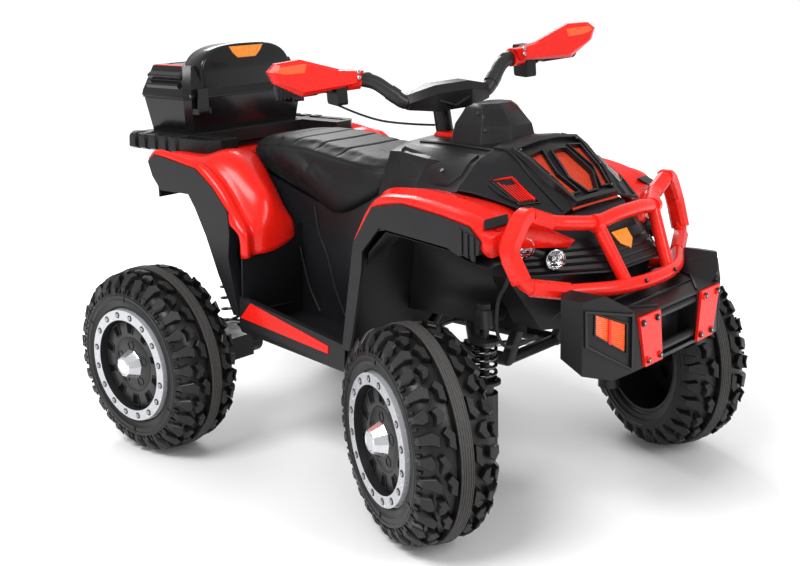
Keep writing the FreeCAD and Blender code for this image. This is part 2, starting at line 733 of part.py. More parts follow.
def make_frame():
    pieces = []
    head = on_column(BEAM_Z)
    thin = RAIL_R - 3
    for side in (-1, 1):
        y = side * RAIL_Y
        pieces.append(bent_bar(rail_run(side), RAIL_R))
        king = V(FRONT_AXLE_X, side * KING_Y, 0)
        pieces.append(Part.makeCylinder(PILLAR_R, PILLAR_TOP_Z - PILLAR_LOW_Z, king + V(0, 0, PILLAR_LOW_Z)))
        boss_low = BEAM_Z - BEAM_R - BITE
        pieces.append(Part.makeCylinder(PILLAR_R * 2, PILLAR_TOP_Z - boss_low, king + V(0, 0, boss_low)))
        pieces.append(Part.makeCylinder(CUP_R, CUP_THICKNESS, king + V(0, 0, CUP_Z)))
        turns = [k * math.pi / 3 for k in range(6)]
        hexagon = [(king.x + NUT_R * math.cos(turn), king.y + NUT_R * math.sin(turn)) for turn in turns]
        pieces.append(plan_prism(hexagon, PILLAR_TOP_Z, PILLAR_TOP_Z + NUT_HEIGHT))
        beside = (head.x, side * (COLUMN_R + 5), BEAM_Z)
        pieces.append(rod(beside, (FRONT_AXLE_X, y, BEAM_Z), thin))
        pieces.append(rod(beside, (head.x - 50, y, RAIL_Z), thin))
        cup = V(REAR_AXLE_X, side * REAR_SPRING_Y, REAR_SPRING_TOP_Z)
        pieces.append(Part.makeCylinder(CUP_R, CUP_THICKNESS, cup))
        arm_end = (cup.x, cup.y, cup.z + CUP_THICKNESS + 8)
        pieces.append(rod((POST_FOOT_X - 20, y, BEAM_Z + 25), arm_end, thin))
        pieces.append(Part.makeCylinder(thin, 14, cup))
    pieces.append(rod((FRONT_AXLE_X, -KING_Y, BEAM_Z), (FRONT_AXLE_X, KING_Y, BEAM_Z), BEAM_R))
    for x in (BATTERY_X - 45, BATTERY_X + 45, RAIL_FRONT_X):
        pieces.append(rod((x, -RAIL_Y, RAIL_Z), (x, RAIL_Y, RAIL_Z), CROSS_R))
    pieces.append(rod((PIVOT_X, -RAIL_Y, PIVOT_Z), (PIVOT_X, RAIL_Y, PIVOT_Z), PIVOT_PIN_R))
    top_z = RACK_Z - RAIL_R
    pieces.append(rod((POST_X, -RAIL_Y, top_z), (POST_X, RAIL_Y, top_z), CROSS_R))
    pieces.append(rod(on_column(BEAM_Z - 25), on_column(BEAM_Z + 25), HEAD_TUBE_R))
    frame = pieces[0].fuse(pieces[1:])
    bore = rod(on_column(BEAM_Z - 60), on_column(BEAM_Z + 60), COLUMN_R + FIT_GAP)
    return frame.cut(bore).removeSplitter()


def make_swing_arm():
    tube_half = RAIL_Y - RAIL_R - 2
    pieces = [rod((PIVOT_X, -tube_half, PIVOT_Z), (PIVOT_X, tube_half, PIVOT_Z), PIVOT_TUBE_R)]
    for half, radius in ((AXLE_TUBE_HALF, AXLE_TUBE_R), (TRACK / 2 + STUB_END, AXLE_R)):
        pieces.append(rod((REAR_AXLE_X, -half, TYRE_R), (REAR_AXLE_X, half, TYRE_R), radius))
    for side in (-1, 1):
        pieces.append(rod((PIVOT_X, side * 40, PIVOT_Z), (REAR_AXLE_X, side * 98, TYRE_R), ARM_TUBE_R))
        seat = V(REAR_AXLE_X, side * REAR_SPRING_Y, TYRE_R)
        pieces.append(Part.makeCylinder(CUP_R, CUP_THICKNESS + BITE, seat + V(0, 0, AXLE_TUBE_R - BITE)))
        pieces.append(Part.makeCylinder(ARM_TUBE_R, AXLE_TUBE_R + 2, seat))
    arm = pieces[0].fuse(pieces[1:])
    bore = rod((PIVOT_X, -RAIL_Y, PIVOT_Z), (PIVOT_X, RAIL_Y, PIVOT_Z), PIVOT_PIN_R + RUNNING_CLEARANCE)
    return arm.cut(bore).removeSplitter()


def make_gear_motor():
    outer = MOTOR_INNER_Y + MOTOR_WIDTH
    outline = [(-38, -36), (40, -36), (96, -20), (96, 26), (30, 34), (-38, 26)]
    case = side_prism([(REAR_AXLE_X + x, TYRE_R + z) for x, z in outline], MOTOR_INNER_Y, outer)
    can_x = REAR_AXLE_X + 60
    can_y = MOTOR_INNER_Y - MOTOR_CAN_LENGTH
    can = rod((can_x, can_y, TYRE_R), (can_x, MOTOR_INNER_Y, TYRE_R), MOTOR_CAN_R)
    boss = rod((REAR_AXLE_X, outer, TYRE_R), (REAR_AXLE_X, TRACK / 2 - HUB_INNER - 1, TYRE_R), HUB_R)
    motor = case.fuse([can, boss])
    motor = motor.cut(rod((REAR_AXLE_X, 0, TYRE_R), (REAR_AXLE_X, AXLE_TUBE_HALF, TYRE_R), AXLE_TUBE_R))
    return motor.cut(rod((REAR_AXLE_X, 0, TYRE_R), (REAR_AXLE_X, TRACK / 2, TYRE_R), AXLE_R)).removeSplitter()


def seat_ring(x, top, half, bottom):
    """Cross section of the cushion with crown, rounded shoulders and drawn-in sides."""
    waist = (top + bottom) / 2 - 6
    right = [(0, top), (0.45 * half, top - 2), (0.8 * half, top - 7), (half - 5, top - 14),
             (half, 0.7 * top + 0.3 * bottom), (half - 5, 0.35 * waist + 0.65 * bottom), (half - 9, bottom)]
    return [V(x, y, z) for y, z in mirrored_run(right)]


def make_seat():
    seat = loft([seat_ring(*station) for station in SEAT])
    for index in range(SEAT_CHANNELS):
        x = CHANNEL_FIRST_X + index * CHANNEL_PITCH
        low, high = [(a, b) for a, b in zip(SEAT, SEAT[1:]) if a[0] <= x <= b[0]][0]
        share = (x - low[0]) / (high[0] - low[0])
        top = low[1] + share * (high[1] - low[1]) + 1.0
        half = low[2] + share * (high[2] - low[2])
        crown = [(0, top), (0.45 * half, top - 2), (0.8 * half, top - 7)]
        groove = sheet(mirrored_run(crown), CHANNEL_DEPTH + 1.0)
        seat = seat.cut(front_prism(groove, x - CHANNEL_WIDTH / 2, x + CHANNEL_WIDTH / 2))
    return seat


def make_lower_body(seat, console):
    rise = [(x, bottom) for x, top, half, bottom in SEAT[1:-1]]
    console_x = CONSOLE[0][0] + 4
    toe_top_x = FLOOR_FRONT_X + TOE_RISE_X
    wall_outline = [(SEAT[1][0], 320), (SILL_REAR_X, FLOOR_REAR_Z - WALL), (FLOOR_FRONT_X, FLOOR_FRONT_Z - WALL),
                    (toe_top_x, TOE_TOP_Z), (toe_top_x + 24, 640), (console_x, 640), (console_x, 534)]
    right = side_prism(wall_outline + rise[::-1], -TUNNEL_Y, -TUNNEL_Y + WALL)
    outer = SILL_Y - SILL_DEPTH
    floor = sheet([(SILL_REAR_X, FLOOR_REAR_Z), (FLOOR_FRONT_X, FLOOR_FRONT_Z)], WALL)
    floor_plan = [(SILL_REAR_X, -TUNNEL_Y), (SILL_REAR_X, -outer - 4), (TOE_OUTER_X, -outer - 4),
                  (FLOOR_FRONT_X, -TUNNEL_Y)]
    floor = side_prism(floor, -SILL_Y, -TUNNEL_Y).common(plan_prism(floor_plan, 200, 300))
    heel = sheet([(SILL_REAR_X + WALL, FLOOR_REAR_Z - WALL), (SILL_REAR_X + WALL + HEEL_RAKE, HEEL_TOP_Z)], -WALL)
    heel = side_prism(heel, -SILL_Y + 6, -TUNNEL_Y)
    toe_low = sheet([(FLOOR_FRONT_X, -TUNNEL_Y), (TOE_OUTER_X, -SILL_Y + 6)], WALL)
    toe = loft([[V(x, y, FLOOR_FRONT_Z - WALL) for x, y in toe_low],
                [V(x + TOE_RISE_X, y, TOE_TOP_Z) for x, y in toe_low]])
    sill = []
    for x, low, high in ((SILL_REAR_X, SILL_REAR_LOW_Z, SILL_REAR_TOP_Z),
                         (SILL_FRONT_X, SILL_FRONT_LOW_Z, SILL_FRONT_TOP_Z)):
        outline = [(SILL_DEPTH, low), (5, low), (0, low + 12), (4, high), (SILL_DEPTH, high)]
        sill.append([V(x, -SILL_Y + y, z) for y, z in outline])
    right = right.fuse([floor, heel, toe, loft(sill)])
    pan = side_prism(sheet(rise, WALL), -TUNNEL_Y, TUNNEL_Y)
    rear = box(SEAT[1][0], SEAT[1][0] + WALL, -TUNNEL_Y, TUNNEL_Y, 320, 560)
    rails = [bent_bar(rail_run(side), RAIL_R + FIT_GAP) for side in (-1, 1)]
    return trimmed(right.fuse([mirrored(right), pan, rear]), seat, console, *rails)


def make_console(pod):
    hole = rod(on_column(500), on_column(700), COLUMN_HOLE_R)
    return panel(CONSOLE, True).cut(hole).cut(pod)


def scoop_cutters():
    """Openings of the bonnet: a middle diamond and one beside it at each edge."""
    middle = [(352, -22), (352, 22), (398, 36), (422, 14), (422, -14), (398, -36)]
    beside = [(345, -78), (345, -38), (388, -52), (418, -32), (418, -60), (390, -70)]
    cutters = [plan_prism(middle, 500, 660), plan_prism(beside, 500, 660)]
    return cutters + [mirrored(cutters[1])]


def make_hood():
    hood = panel(HOOD, True)
    for cutter in scoop_cutters():
        hood = hood.cut(cutter)
    return hood.removeSplitter()


def make_hood_mesh():
    drop = WALL + FIT_GAP
    return panel([(x, [(y, z - drop) for y, z in half[:2]]) for x, half in HOOD[1:]], True)


def make_fascia():
    outer, inner = [], []
    for index, (z, half) in enumerate(FASCIA):
        run = [(x, -y) for x, y in half] + [(x, y) for x, y in half[::-1]]
        outer.append([V(x, y, z) for x, y in run])
        inside = [(half[0][0] - 10, half[0][1] - WALL)] + [(x - 6, y - WALL) for x, y in half[1:]]
        run = [(x, -y) for x, y in inside] + [(x, y) for x, y in inside[::-1]]
        if index == 0:
            z = z + WALL
        if index == len(FASCIA) - 1:
            z = z - WALL
        inner.append([V(x, y, z) for x, y in run])
    return loft(outer).cut(loft(inner))


def make_front_flare():
    leg = side_prism(sheet(FRONT_ARCH, FLARE_SKIN), -FLARE_Y, -FLARE_Y + LEG_DEPTH)
    top = side_prism(sheet(FRONT_ARCH[2:], FLARE_SKIN), -FLARE_Y, -FLARE_Y + FLARE_DEPTH)
    lip = side_prism(FRONT_ARCH + FRONT_ARCH_INNER[::-1], -FLARE_Y, -FLARE_Y + FLARE_LIP)
    return leg.fuse([top, lip]).removeSplitter()


def make_rear_flare():
    strip = side_prism(sheet(REAR_ARCH, FLARE_SKIN), -FLARE_Y, -FLARE_Y + FLARE_DEPTH)
    lip = side_prism(REAR_ARCH + REAR_ARCH_INNER[::-1], -FLARE_Y, -FLARE_Y + FLARE_LIP)
    return strip.fuse(lip).removeSplitter()


def make_front_fender(neighbours):
    wing = panel(FRONT_WING, False)
    bridge = box(300, 330, -170, 170, 528, 534)
    for y in (-174, 168):
        bridge = bridge.fuse(box(300, 330, y, y + 6, 528, 575))
    return trimmed(wing.fuse([mirrored(wing), bridge]), *neighbours)


def make_rear_fender(neighbours):
    wing = panel(REAR_WING, False)
    deck = box(-520, -300, -190, 190, 562, 566)
    tail = box(-520, -516, -190, 190, 470, 564)
    return trimmed(wing.fuse([mirrored(wing), deck, tail]), *neighbours)


def bumper_plan(grow):
    """Plan outline of the bumper, grown outward."""
    right = [(BUMPER_REAR_X, -BUMPER_REAR_HALF - grow), (BUMPER_WING_X, -BUMPER_WING_HALF - grow),
             (BUMPER_KNEE_X, -BUMPER_WING_HALF - grow), (BUMPER_FRONT_X, -BUMPER_FRONT_HALF - grow)]
    return right + [(x, -y) for x, y in right[::-1]]


def bumper_block(grow):
    """Upright block inside the bumper's plan outline."""
    return plan_prism(bumper_plan(grow), BUMPER_LOW_Z, BUMPER_HIGH_Z)


def make_bumper():
    block = bumper_block(0).common(side_prism(BUMPER_PROFILE, -BUMPER_WING_HALF, BUMPER_WING_HALF))
    middle_z = (BUMPER_DECK_Z + BUMPER_PROFILE[-1][1]) / 2
    inner = []
    for x, z in BUMPER_PROFILE:
        inner.append((x - BUMPER_WALL, z + (BUMPER_WALL if z < middle_z + 10 else -BUMPER_WALL)))
    hollow = bumper_block(-BUMPER_WALL).common(side_prism(inner, -BUMPER_WING_HALF, BUMPER_WING_HALF))
    ear = front_prism([(-BUMPER_WING_HALF, BUMPER_DECK_Z - 6), (-BUMPER_WING_HALF, BUMPER_EAR_Z - 6),
                       (-180, BUMPER_EAR_Z), (-116, BUMPER_DECK_Z - 6)], BUMPER_WING_X - 20, BUMPER_FRONT_X - 7)
    ear = ear.common(bumper_block(0))
    bumper = block.cut(hollow).fuse([ear, mirrored(ear)])
    back_x = BUMPER_FRONT_X - MOUTH_DEPTH
    mouth = box(back_x, BUMPER_FRONT_X + 1, -MOUTH_HALF, MOUTH_HALF, MOUTH_LOW_Z, MOUTH_HIGH_Z)
    tray_half = MOUTH_HALF + BUMPER_WALL
    tray = box(back_x - BUMPER_WALL, BUMPER_FRONT_X - 1, -tray_half, tray_half,
               MOUTH_LOW_Z - BUMPER_WALL, MOUTH_HIGH_Z + 1)
    bumper = bumper.fuse(tray).cut(mouth)
    for z in (MOUTH_LOW_Z + ROLLER_R + BITE, MOUTH_HIGH_Z - ROLLER_R - BITE):
        x = BUMPER_FRONT_X - ROLLER_R - 1
        bumper = bumper.fuse(rod((x, -MOUTH_HALF - 2, z), (x, MOUTH_HALF + 2, z), ROLLER_R))
    return bumper.removeSplitter()


def make_marker():
    lens = side_prism(LENS_OUTLINE, -BUMPER_WING_HALF - 10, -BUMPER_FRONT_HALF + 20)
    return lens.common(bumper_block(LENS_THICKNESS)).cut(bumper_block(0)).Solids[0]


def make_plate():
    outline = [(-y, z) for y, z in PLATE_OUTLINE]
    plate = front_prism(outline, BUMPER_FRONT_X, BUMPER_FRONT_X + PLATE_THICKNESS)
    middle_y = sum(y for y, z in outline) / len(outline)
    middle_z = sum(z for y, z in outline) / len(outline)
    for y, z in outline:
        spot_y, spot_z = 0.68 * y + 0.32 * middle_y, 0.72 * z + 0.28 * middle_z
        plate = plate.fuse(rod((BUMPER_FRONT_X, spot_y, spot_z), (HALF_LENGTH, spot_y, spot_z), BOLT_R))
    return plate.removeSplitter()


def make_bull_bar():
    points = [V(*point) for point in BULL_BAR]
    edges, radii = rounded_run(points, BULL_BEND)
    half = tube_along(edges, points[0], points[1] - points[0], BAR_R)
    bar = half.fuse(mirrored(half))
    for side in (-1, 1):
        top = (BULL_POST_TOP[0], side * BULL_POST_TOP[1], BULL_POST_TOP[2])
        foot = (BULL_POST_FOOT[0], side * BULL_POST_FOOT[1], BULL_POST_FOOT[2])
        bar = bar.fuse(rod(top, foot, POST_R))
        y = side * BULL_STAY_Y
        stay = [(520, y, 422), (420, y, 400), (FRONT_AXLE_X + RAIL_R, y, BEAM_Z)]
        bar = bar.fuse(bent_bar(stay, POST_R - 2))
    return bar.removeSplitter()


def make_lamp_pair(neighbours):
    way = V(math.cos(math.radians(LAMP_TILT)), -math.sin(math.radians(LAMP_TILT)), 0)
    centres = [V(x, -y, z) for x, y, z in LAMPS]
    fronts = [centre + way * 8 for centre in centres]
    lamps = [rod(front - way * LAMP_LENGTH, front, LAMP_R) for front in fronts]
    return trimmed(rod(*centres, 7.0).fuse(lamps).removeSplitter(), *neighbours)


def make_rack(frame):
    half = RACK_HALF
    outline = [(RACK_REAR_X, -half + RACK_CORNER), (RACK_REAR_X + RACK_CORNER, -half), (RACK_FRONT_X - 20, -half),
               (RACK_FRONT_X, -half + 24), (RACK_FRONT_X, -RACK_NOTCH_HALF), (RACK_NOTCH_X, -RACK_NOTCH_HALF)]
    rack = plan_prism(outline + [(x, -y) for x, y in outline[::-1]], RACK_Z, RACK_Z + RACK_HEIGHT)
    middle = (RACK_REAR_X + RACK_FRONT_X) / 2
    reach = RACK_SLOT_LENGTH / 2
    for y in (-RACK_SLOT_Y, RACK_SLOT_Y):
        for x in (middle - reach - 8, middle + reach + 8):
            rack = rack.cut(box(x - reach, x + reach, y - RACK_SLOT_WIDTH / 2, y + RACK_SLOT_WIDTH / 2,
                                RACK_Z - 1, RACK_Z + RACK_HEIGHT + 1))
    return trimmed(rack, frame)


def trunk_ring(grow, z, draft):
    """Level outline of the trunk at a height."""
    rear, front, half = TRUNK_REAR_X + draft - grow, TRUNK_FRONT_X - draft + grow, TRUNK_HALF - draft + grow
    cut = 12.0
    right = [(rear, -half + cut), (rear + cut, -half), (front - cut, -half), (front, -half + cut)]
    return [V(x, y, z) for x, y in right + [(x, -y) for x, y in right[::-1]]]


def make_trunk_tub():
    low = RACK_Z + RACK_HEIGHT
    tub = loft([trunk_ring(0, low, TRUNK_DRAFT), trunk_ring(0, TRUNK_RIM_Z, 0)])
    tub = tub.cut(loft([trunk_ring(-WALL, low + WALL, TRUNK_DRAFT), trunk_ring(-WALL, TRUNK_RIM_Z + 1, 0)]))
    for side in (-1, 1):
        y0, y1 = sorted((side * HINGE_HALF, side * (HINGE_HALF + 14)))
        ear = rod((HINGE_X, y0, HINGE_Z), (HINGE_X, y1, HINGE_Z), KNUCKLE_R)
        web = box(HINGE_X - 2, TRUNK_REAR_X + 2, y0, y1, HINGE_Z - 22, HINGE_Z - 3)
        tub = tub.fuse([ear, web])
        middle = side * LATCH_Y
        reach = LATCH_WIDTH / 2 + FIT_GAP
        for y in (middle - reach - 4, middle + reach):
            tub = tub.fuse(box(TRUNK_FRONT_X - 6, LATCH_X + 5, y, y + 4, LATCH_Z - 6, LATCH_Z + 6))
        pin_ends = (middle - reach - 1, middle + reach + 1)
        tub = tub.fuse(rod((LATCH_X, pin_ends[0], LATCH_Z), (LATCH_X, pin_ends[1], LATCH_Z), HINGE_PIN_R))
    pin_half = HINGE_HALF + 1
    tub = tub.fuse(rod((HINGE_X, -pin_half, HINGE_Z), (HINGE_X, pin_half, HINGE_Z), HINGE_PIN_R))
    return tub.removeSplitter()


def dome_ring(z, rear, front, half):
    """Level outline of the backrest dome."""
    right = [(rear, -0.7 * half), (rear + 18, -half), (front - 18, -half), (front, -0.7 * half)]
    return [V(x, y, z) for x, y in right + [(x, -y) for x, y in right[::-1]]]


def make_trunk_lid():
    low = TRUNK_RIM_Z + LID_GAP
    brim = low + 14
    shell = loft([trunk_ring(LID_BRIM, low, 0), trunk_ring(LID_BRIM, brim, 0), trunk_ring(0, LID_TOP_Z, 16)])
    rear, front = TRUNK_REAR_X + 12, TRUNK_FRONT_X - 2
    dome = loft([dome_ring(low + 12, rear, front, DOME_HALF),
                 dome_ring(LID_TOP_Z, rear + 4, front - 10, DOME_HALF - 4),
                 dome_ring(DOME_TOP_Z - 12, rear + 22, front - 24, 0.78 * DOME_HALF),
                 dome_ring(DOME_TOP_Z, rear + 42, front - 40, 0.42 * DOME_HALF)])
    inset = LID_BRIM - WALL
    hollow = loft([trunk_ring(inset, low - 1, 0), trunk_ring(inset, brim, 0),
                   trunk_ring(-WALL, LID_TOP_Z - WALL, 16)])
    pocket = loft([dome_ring(low + 12, rear + WALL, front - WALL, DOME_HALF - WALL),
                   dome_ring(LID_TOP_Z, rear + 8, front - 14, DOME_HALF - 8),
                   dome_ring(DOME_TOP_Z - 16, rear + 28, front - 30, 0.7 * DOME_HALF)])
    lid = shell.fuse(dome).cut(hollow).cut(pocket)
    half = HINGE_HALF - FIT_GAP
    barrel = rod((HINGE_X, -half, HINGE_Z), (HINGE_X, half, HINGE_Z), KNUCKLE_R)
    web = box(HINGE_X, TRUNK_REAR_X + 1, -half, half, HINGE_Z - 1, HINGE_Z + KNUCKLE_R)
    for side in (-1, 1):
        ends = [(HINGE_X, side * half, HINGE_Z), (HINGE_X, side * (HINGE_HALF + 15), HINGE_Z)]
        lid = lid.cut(rod(*ends, KNUCKLE_R + 1))
    bore = rod((HINGE_X, -HINGE_HALF, HINGE_Z), (HINGE_X, HINGE_HALF, HINGE_Z), HINGE_PIN_R + RUNNING_CLEARANCE)
    return lid.fuse([barrel, web]).cut(bore).removeSplitter()


def make_latch():
    y0, y1 = -LATCH_Y - LATCH_WIDTH / 2, -LATCH_Y + LATCH_WIDTH / 2
    barrel = rod((LATCH_X, y0, LATCH_Z), (LATCH_X, y1, LATCH_Z), KNUCKLE_R)
    hook_z = TRUNK_RIM_Z + LID_GAP + 16
    plate = box(LATCH_X - 1, LATCH_X + 4, y0, y1, LATCH_Z, hook_z + 5)
    hook_x = TRUNK_FRONT_X + LID_BRIM + 2 * FIT_GAP
    hook = box(hook_x, LATCH_X + 4, y0 + 4, y1 - 4, hook_z, hook_z + 5)
    bore = rod((LATCH_X, y0 - 1, LATCH_Z), (LATCH_X, y1 + 1, LATCH_Z), HINGE_PIN_R + RUNNING_CLEARANCE)
    return barrel.fuse([plate, hook]).cut(bore).removeSplitter()


def make_pod():
    rings = []
    for z, rear, front, half in POD:
        length = front - rear
        right = [(rear, -0.6 * half), (rear + 0.2 * length, -half), (front - 0.3 * length, -half),
                 (front, -0.45 * half)]
        rings.append([V(x, y, z) for x, y in right + [(x, -y) for x, y in right[::-1]]])
    return loft(rings)


def make_battery():
    length, width, height = BATTERY
    low = RAIL_Z + CROSS_R
    return box(BATTERY_X - length / 2, BATTERY_X + length / 2, -width / 2, width / 2, low, low + height)


def build():
    """Every node of the vehicle by name."""
    nodes = {}
    frame = make_frame()
    seat = make_seat()
    pod = make_pod()
    console = make_console(pod)
    hood = make_hood()
    mesh = make_hood_mesh()
    front_flare = make_front_flare()
    rear_flare = make_rear_flare()
    flares = [front_flare, mirrored(front_flare), rear_flare, mirrored(rear_flare)]
    rack = make_rack(frame)
    bull_bar = trimmed(make_bull_bar(), frame)
    bumper = trimmed(make_bumper(), bull_bar)
    lower_body = trimmed(make_lower_body(seat, console), *flares)
    front_fender = make_front_fender(flares[:2] + [hood, mesh, console, bull_bar])
    fascia = trimmed(make_fascia(), bumper, bull_bar, hood, mesh, front_fender)
    lamps = make_lamp_pair([fascia, front_fender])
    marker = make_marker()
    plate = make_plate()
    latch = make_latch()
    nodes["frame"] = frame
    nodes["seat_cushion"] = seat
    nodes["console"] = console
    nodes["bonnet"] = hood
    nodes["bonnet_mesh"] = mesh
    nodes["dash_pod"] = pod
    nodes["lower_body"] = lower_body
    nodes["front_flare_right"], nodes["front_flare_left"] = flares[:2]
    nodes["rear_flare_right"], nodes["rear_flare_left"] = flares[2:]
    nodes["front_fender"] = front_fender
    nodes["rear_fender"] = make_rear_fender(flares[2:] + [seat, rack, frame, lower_body])
    nodes["rear_rack"] = rack
    nodes["bull_bar"] = bull_bar
    nodes["front_fascia"] = fascia
    nodes["bumper"] = bumper
    for name, piece in (("marker_lens", marker), ("bumper_plate", plate), ("lamp_pair", lamps), ("latch", latch)):
        nodes[name + "_right"] = piece
        nodes[name + "_left"] = mirrored(piece)
    nodes["trunk_tub"] = make_trunk_tub()
    nodes["trunk_lid"] = make_trunk_lid()
    nodes["battery"] = make_battery()
    nodes["front_lead"] = cord(FRONT_LEAD, LEAD_R, "front lead")

    handlebar = make_handlebar()
    nodes["handlebar"] = steered(handlebar)
    nodes["bar_pad"] = steered(make_bar_pad(handlebar))
    nodes["grip_left"] = steered(make_grip())
    nodes["grip_right"] = steered(mirrored(make_grip()))
    nodes["guard_left"] = steered(make_guard())
    nodes["guard_right"] = steered(mirrored(make_guard()))
    nodes["switch_pod"] = steered(make_housing())
    nodes["throttle_housing"] = steered(mirrored(make_throttle_housing()))
    nodes["thumb_lever"] = steered(mirrored(make_thumb_lever()))
    nodes["bar_wire"] = steered(cord(BAR_WIRE, WIRE_R, "handlebar wire"))

    tyre, rim = make_tyre(), make_rim()
    slider, knuckle = make_slider(), make_knuckle()
    motor = make_gear_motor()
    spring_foot = TYRE_R + AXLE_TUBE_R + CUP_THICKNESS
    nodes["swing_arm"] = make_swing_arm()
    for name, side in (("left", 1), ("right", -1)):
        nodes["slider_" + name] = slider if side > 0 else mirrored(slider)
        nodes["knuckle_" + name] = knuckle_turned(knuckle if side > 0 else mirrored(knuckle), side)
        nodes["tie_rod_" + name] = make_tie_rod(side)
        nodes["front_tyre_" + name] = knuckle_turned(placed_wheel(tyre, FRONT_AXLE_X, side), side)
        nodes["front_rim_" + name] = knuckle_turned(placed_wheel(rim, FRONT_AXLE_X, side), side)
        nodes["rear_tyre_" + name] = placed_wheel(tyre, REAR_AXLE_X, side)
        nodes["rear_rim_" + name] = placed_wheel(rim, REAR_AXLE_X, side)
        nodes["gear_motor_" + name] = trimmed(motor if side > 0 else mirrored(motor), nodes["swing_arm"])
        nodes["front_spring_" + name] = coil(FRONT_AXLE_X, side * KING_Y, SLIDER_TOP_Z, CUP_Z,
                                             FRONT_SPRING_TURNS, "front spring")
        nodes["rear_spring_" + name] = coil(REAR_AXLE_X, side * REAR_SPRING_Y, spring_foot,
                                            REAR_SPRING_TOP_Z, REAR_SPRING_TURNS, "rear spring")
    return nodes


os.makedirs("parts", exist_ok=True)
for node, shape in build().items():
    print(node, "solids", len(shape.Solids), "valid", shape.isValid(), "volume", round(shape.Volume))
    shape.exportStep(os.path.join("parts", node + ".step"))
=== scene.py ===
"""Looks of a kids' quad bike: meshes, finishes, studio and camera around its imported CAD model."""

import json
import logging
import math
from dataclasses import dataclass
from enum import Enum
from typing import Callable, Iterable, Sequence

import bmesh
import bpy
import numpy as np
from mathutils import Matrix, Vector

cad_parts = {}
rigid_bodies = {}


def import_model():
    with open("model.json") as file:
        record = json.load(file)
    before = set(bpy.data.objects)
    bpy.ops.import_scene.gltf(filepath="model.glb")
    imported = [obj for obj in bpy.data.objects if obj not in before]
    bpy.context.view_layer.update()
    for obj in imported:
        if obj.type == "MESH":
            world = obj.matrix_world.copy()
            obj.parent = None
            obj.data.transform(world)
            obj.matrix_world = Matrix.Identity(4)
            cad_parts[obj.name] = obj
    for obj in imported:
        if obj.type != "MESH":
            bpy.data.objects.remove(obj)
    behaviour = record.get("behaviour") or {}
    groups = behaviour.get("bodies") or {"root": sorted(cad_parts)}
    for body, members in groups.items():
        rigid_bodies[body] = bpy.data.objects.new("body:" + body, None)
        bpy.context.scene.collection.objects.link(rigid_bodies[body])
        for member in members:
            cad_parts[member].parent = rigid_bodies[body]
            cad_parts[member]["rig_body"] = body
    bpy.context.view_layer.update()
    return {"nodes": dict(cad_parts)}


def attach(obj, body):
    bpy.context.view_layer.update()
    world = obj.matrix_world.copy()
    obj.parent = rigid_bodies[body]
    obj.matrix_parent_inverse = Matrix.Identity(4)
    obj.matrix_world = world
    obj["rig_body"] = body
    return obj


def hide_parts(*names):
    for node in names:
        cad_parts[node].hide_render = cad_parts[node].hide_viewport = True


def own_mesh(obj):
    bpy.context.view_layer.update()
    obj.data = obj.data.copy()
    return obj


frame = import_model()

LOG = logging.getLogger("quad_bike")
MM = 0.001
WELD = 2e-5
CAD_WELD = 1e-5
FLAT_ANGLE = 0.6
SHOULDER = 0.6
BAR_TOP = 0.32
RING_LIFT = 0.32
HEAD_SIDES = 16
BEND_SHARE = 0.45
Vec = tuple[float, float, float]
Pair = tuple[float, float]
Colour = tuple[float, float, float]
X_AXIS, Y_AXIS, Z_AXIS = (1, 0, 0), (0, 1, 0), (0, 0, 1)


class Sock:
    """A shader value whose arithmetic adds Math nodes."""

    def __init__(self, shader: "Shader", out: bpy.types.NodeSocket) -> None:
        """Keep the shader that owns the socket."""
        self.shader, self.out = shader, out

    def math(self, operation: str, first: "Sock | float", second: "Sock | float" = 0.0) -> "Sock":
        """Add one Math node.

        Args:
            operation: Blender's name of the operation.
            first: left value.
            second: right value.

        Returns:
            The result.
        """
        return self.shader.node("ShaderNodeMath", {"operation": operation}, {0: first, 1: second})

    def __add__(self, other: "Sock | float") -> "Sock":
        """Sum."""
        return self.math("ADD", self, other)

    def __radd__(self, other: float) -> "Sock":
        """Sum with the number first."""
        return self.math("ADD", other, self)

    def __sub__(self, other: "Sock | float") -> "Sock":
        """Difference."""
        return self.math("SUBTRACT", self, other)

    def __rsub__(self, other: float) -> "Sock":
        """Difference with the number first."""
        return self.math("SUBTRACT", other, self)

    def __mul__(self, other: "Sock | float") -> "Sock":
        """Product."""
        return self.math("MULTIPLY", self, other)

    def __rmul__(self, other: float) -> "Sock":
        """Product with the number first."""
        return self.math("MULTIPLY", other, self)

    def sine(self) -> "Sock":
        """Sine of the value."""
        return self.math("SINE", self)

    def absolute(self) -> "Sock":
        """Value without its sign."""
        return self.math("ABSOLUTE", self)

    def step(self, low: float, high: float) -> "Sock":
        """Smooth step.

        Args:
            low: value that gives 0.
            high: value that gives 1.

        Returns:
            A value from 0 to 1.
        """
        settings = {"interpolation_type": "SMOOTHSTEP"}
        return self.shader.node("ShaderNodeMapRange", settings, {0: self, 1: low, 2: high})


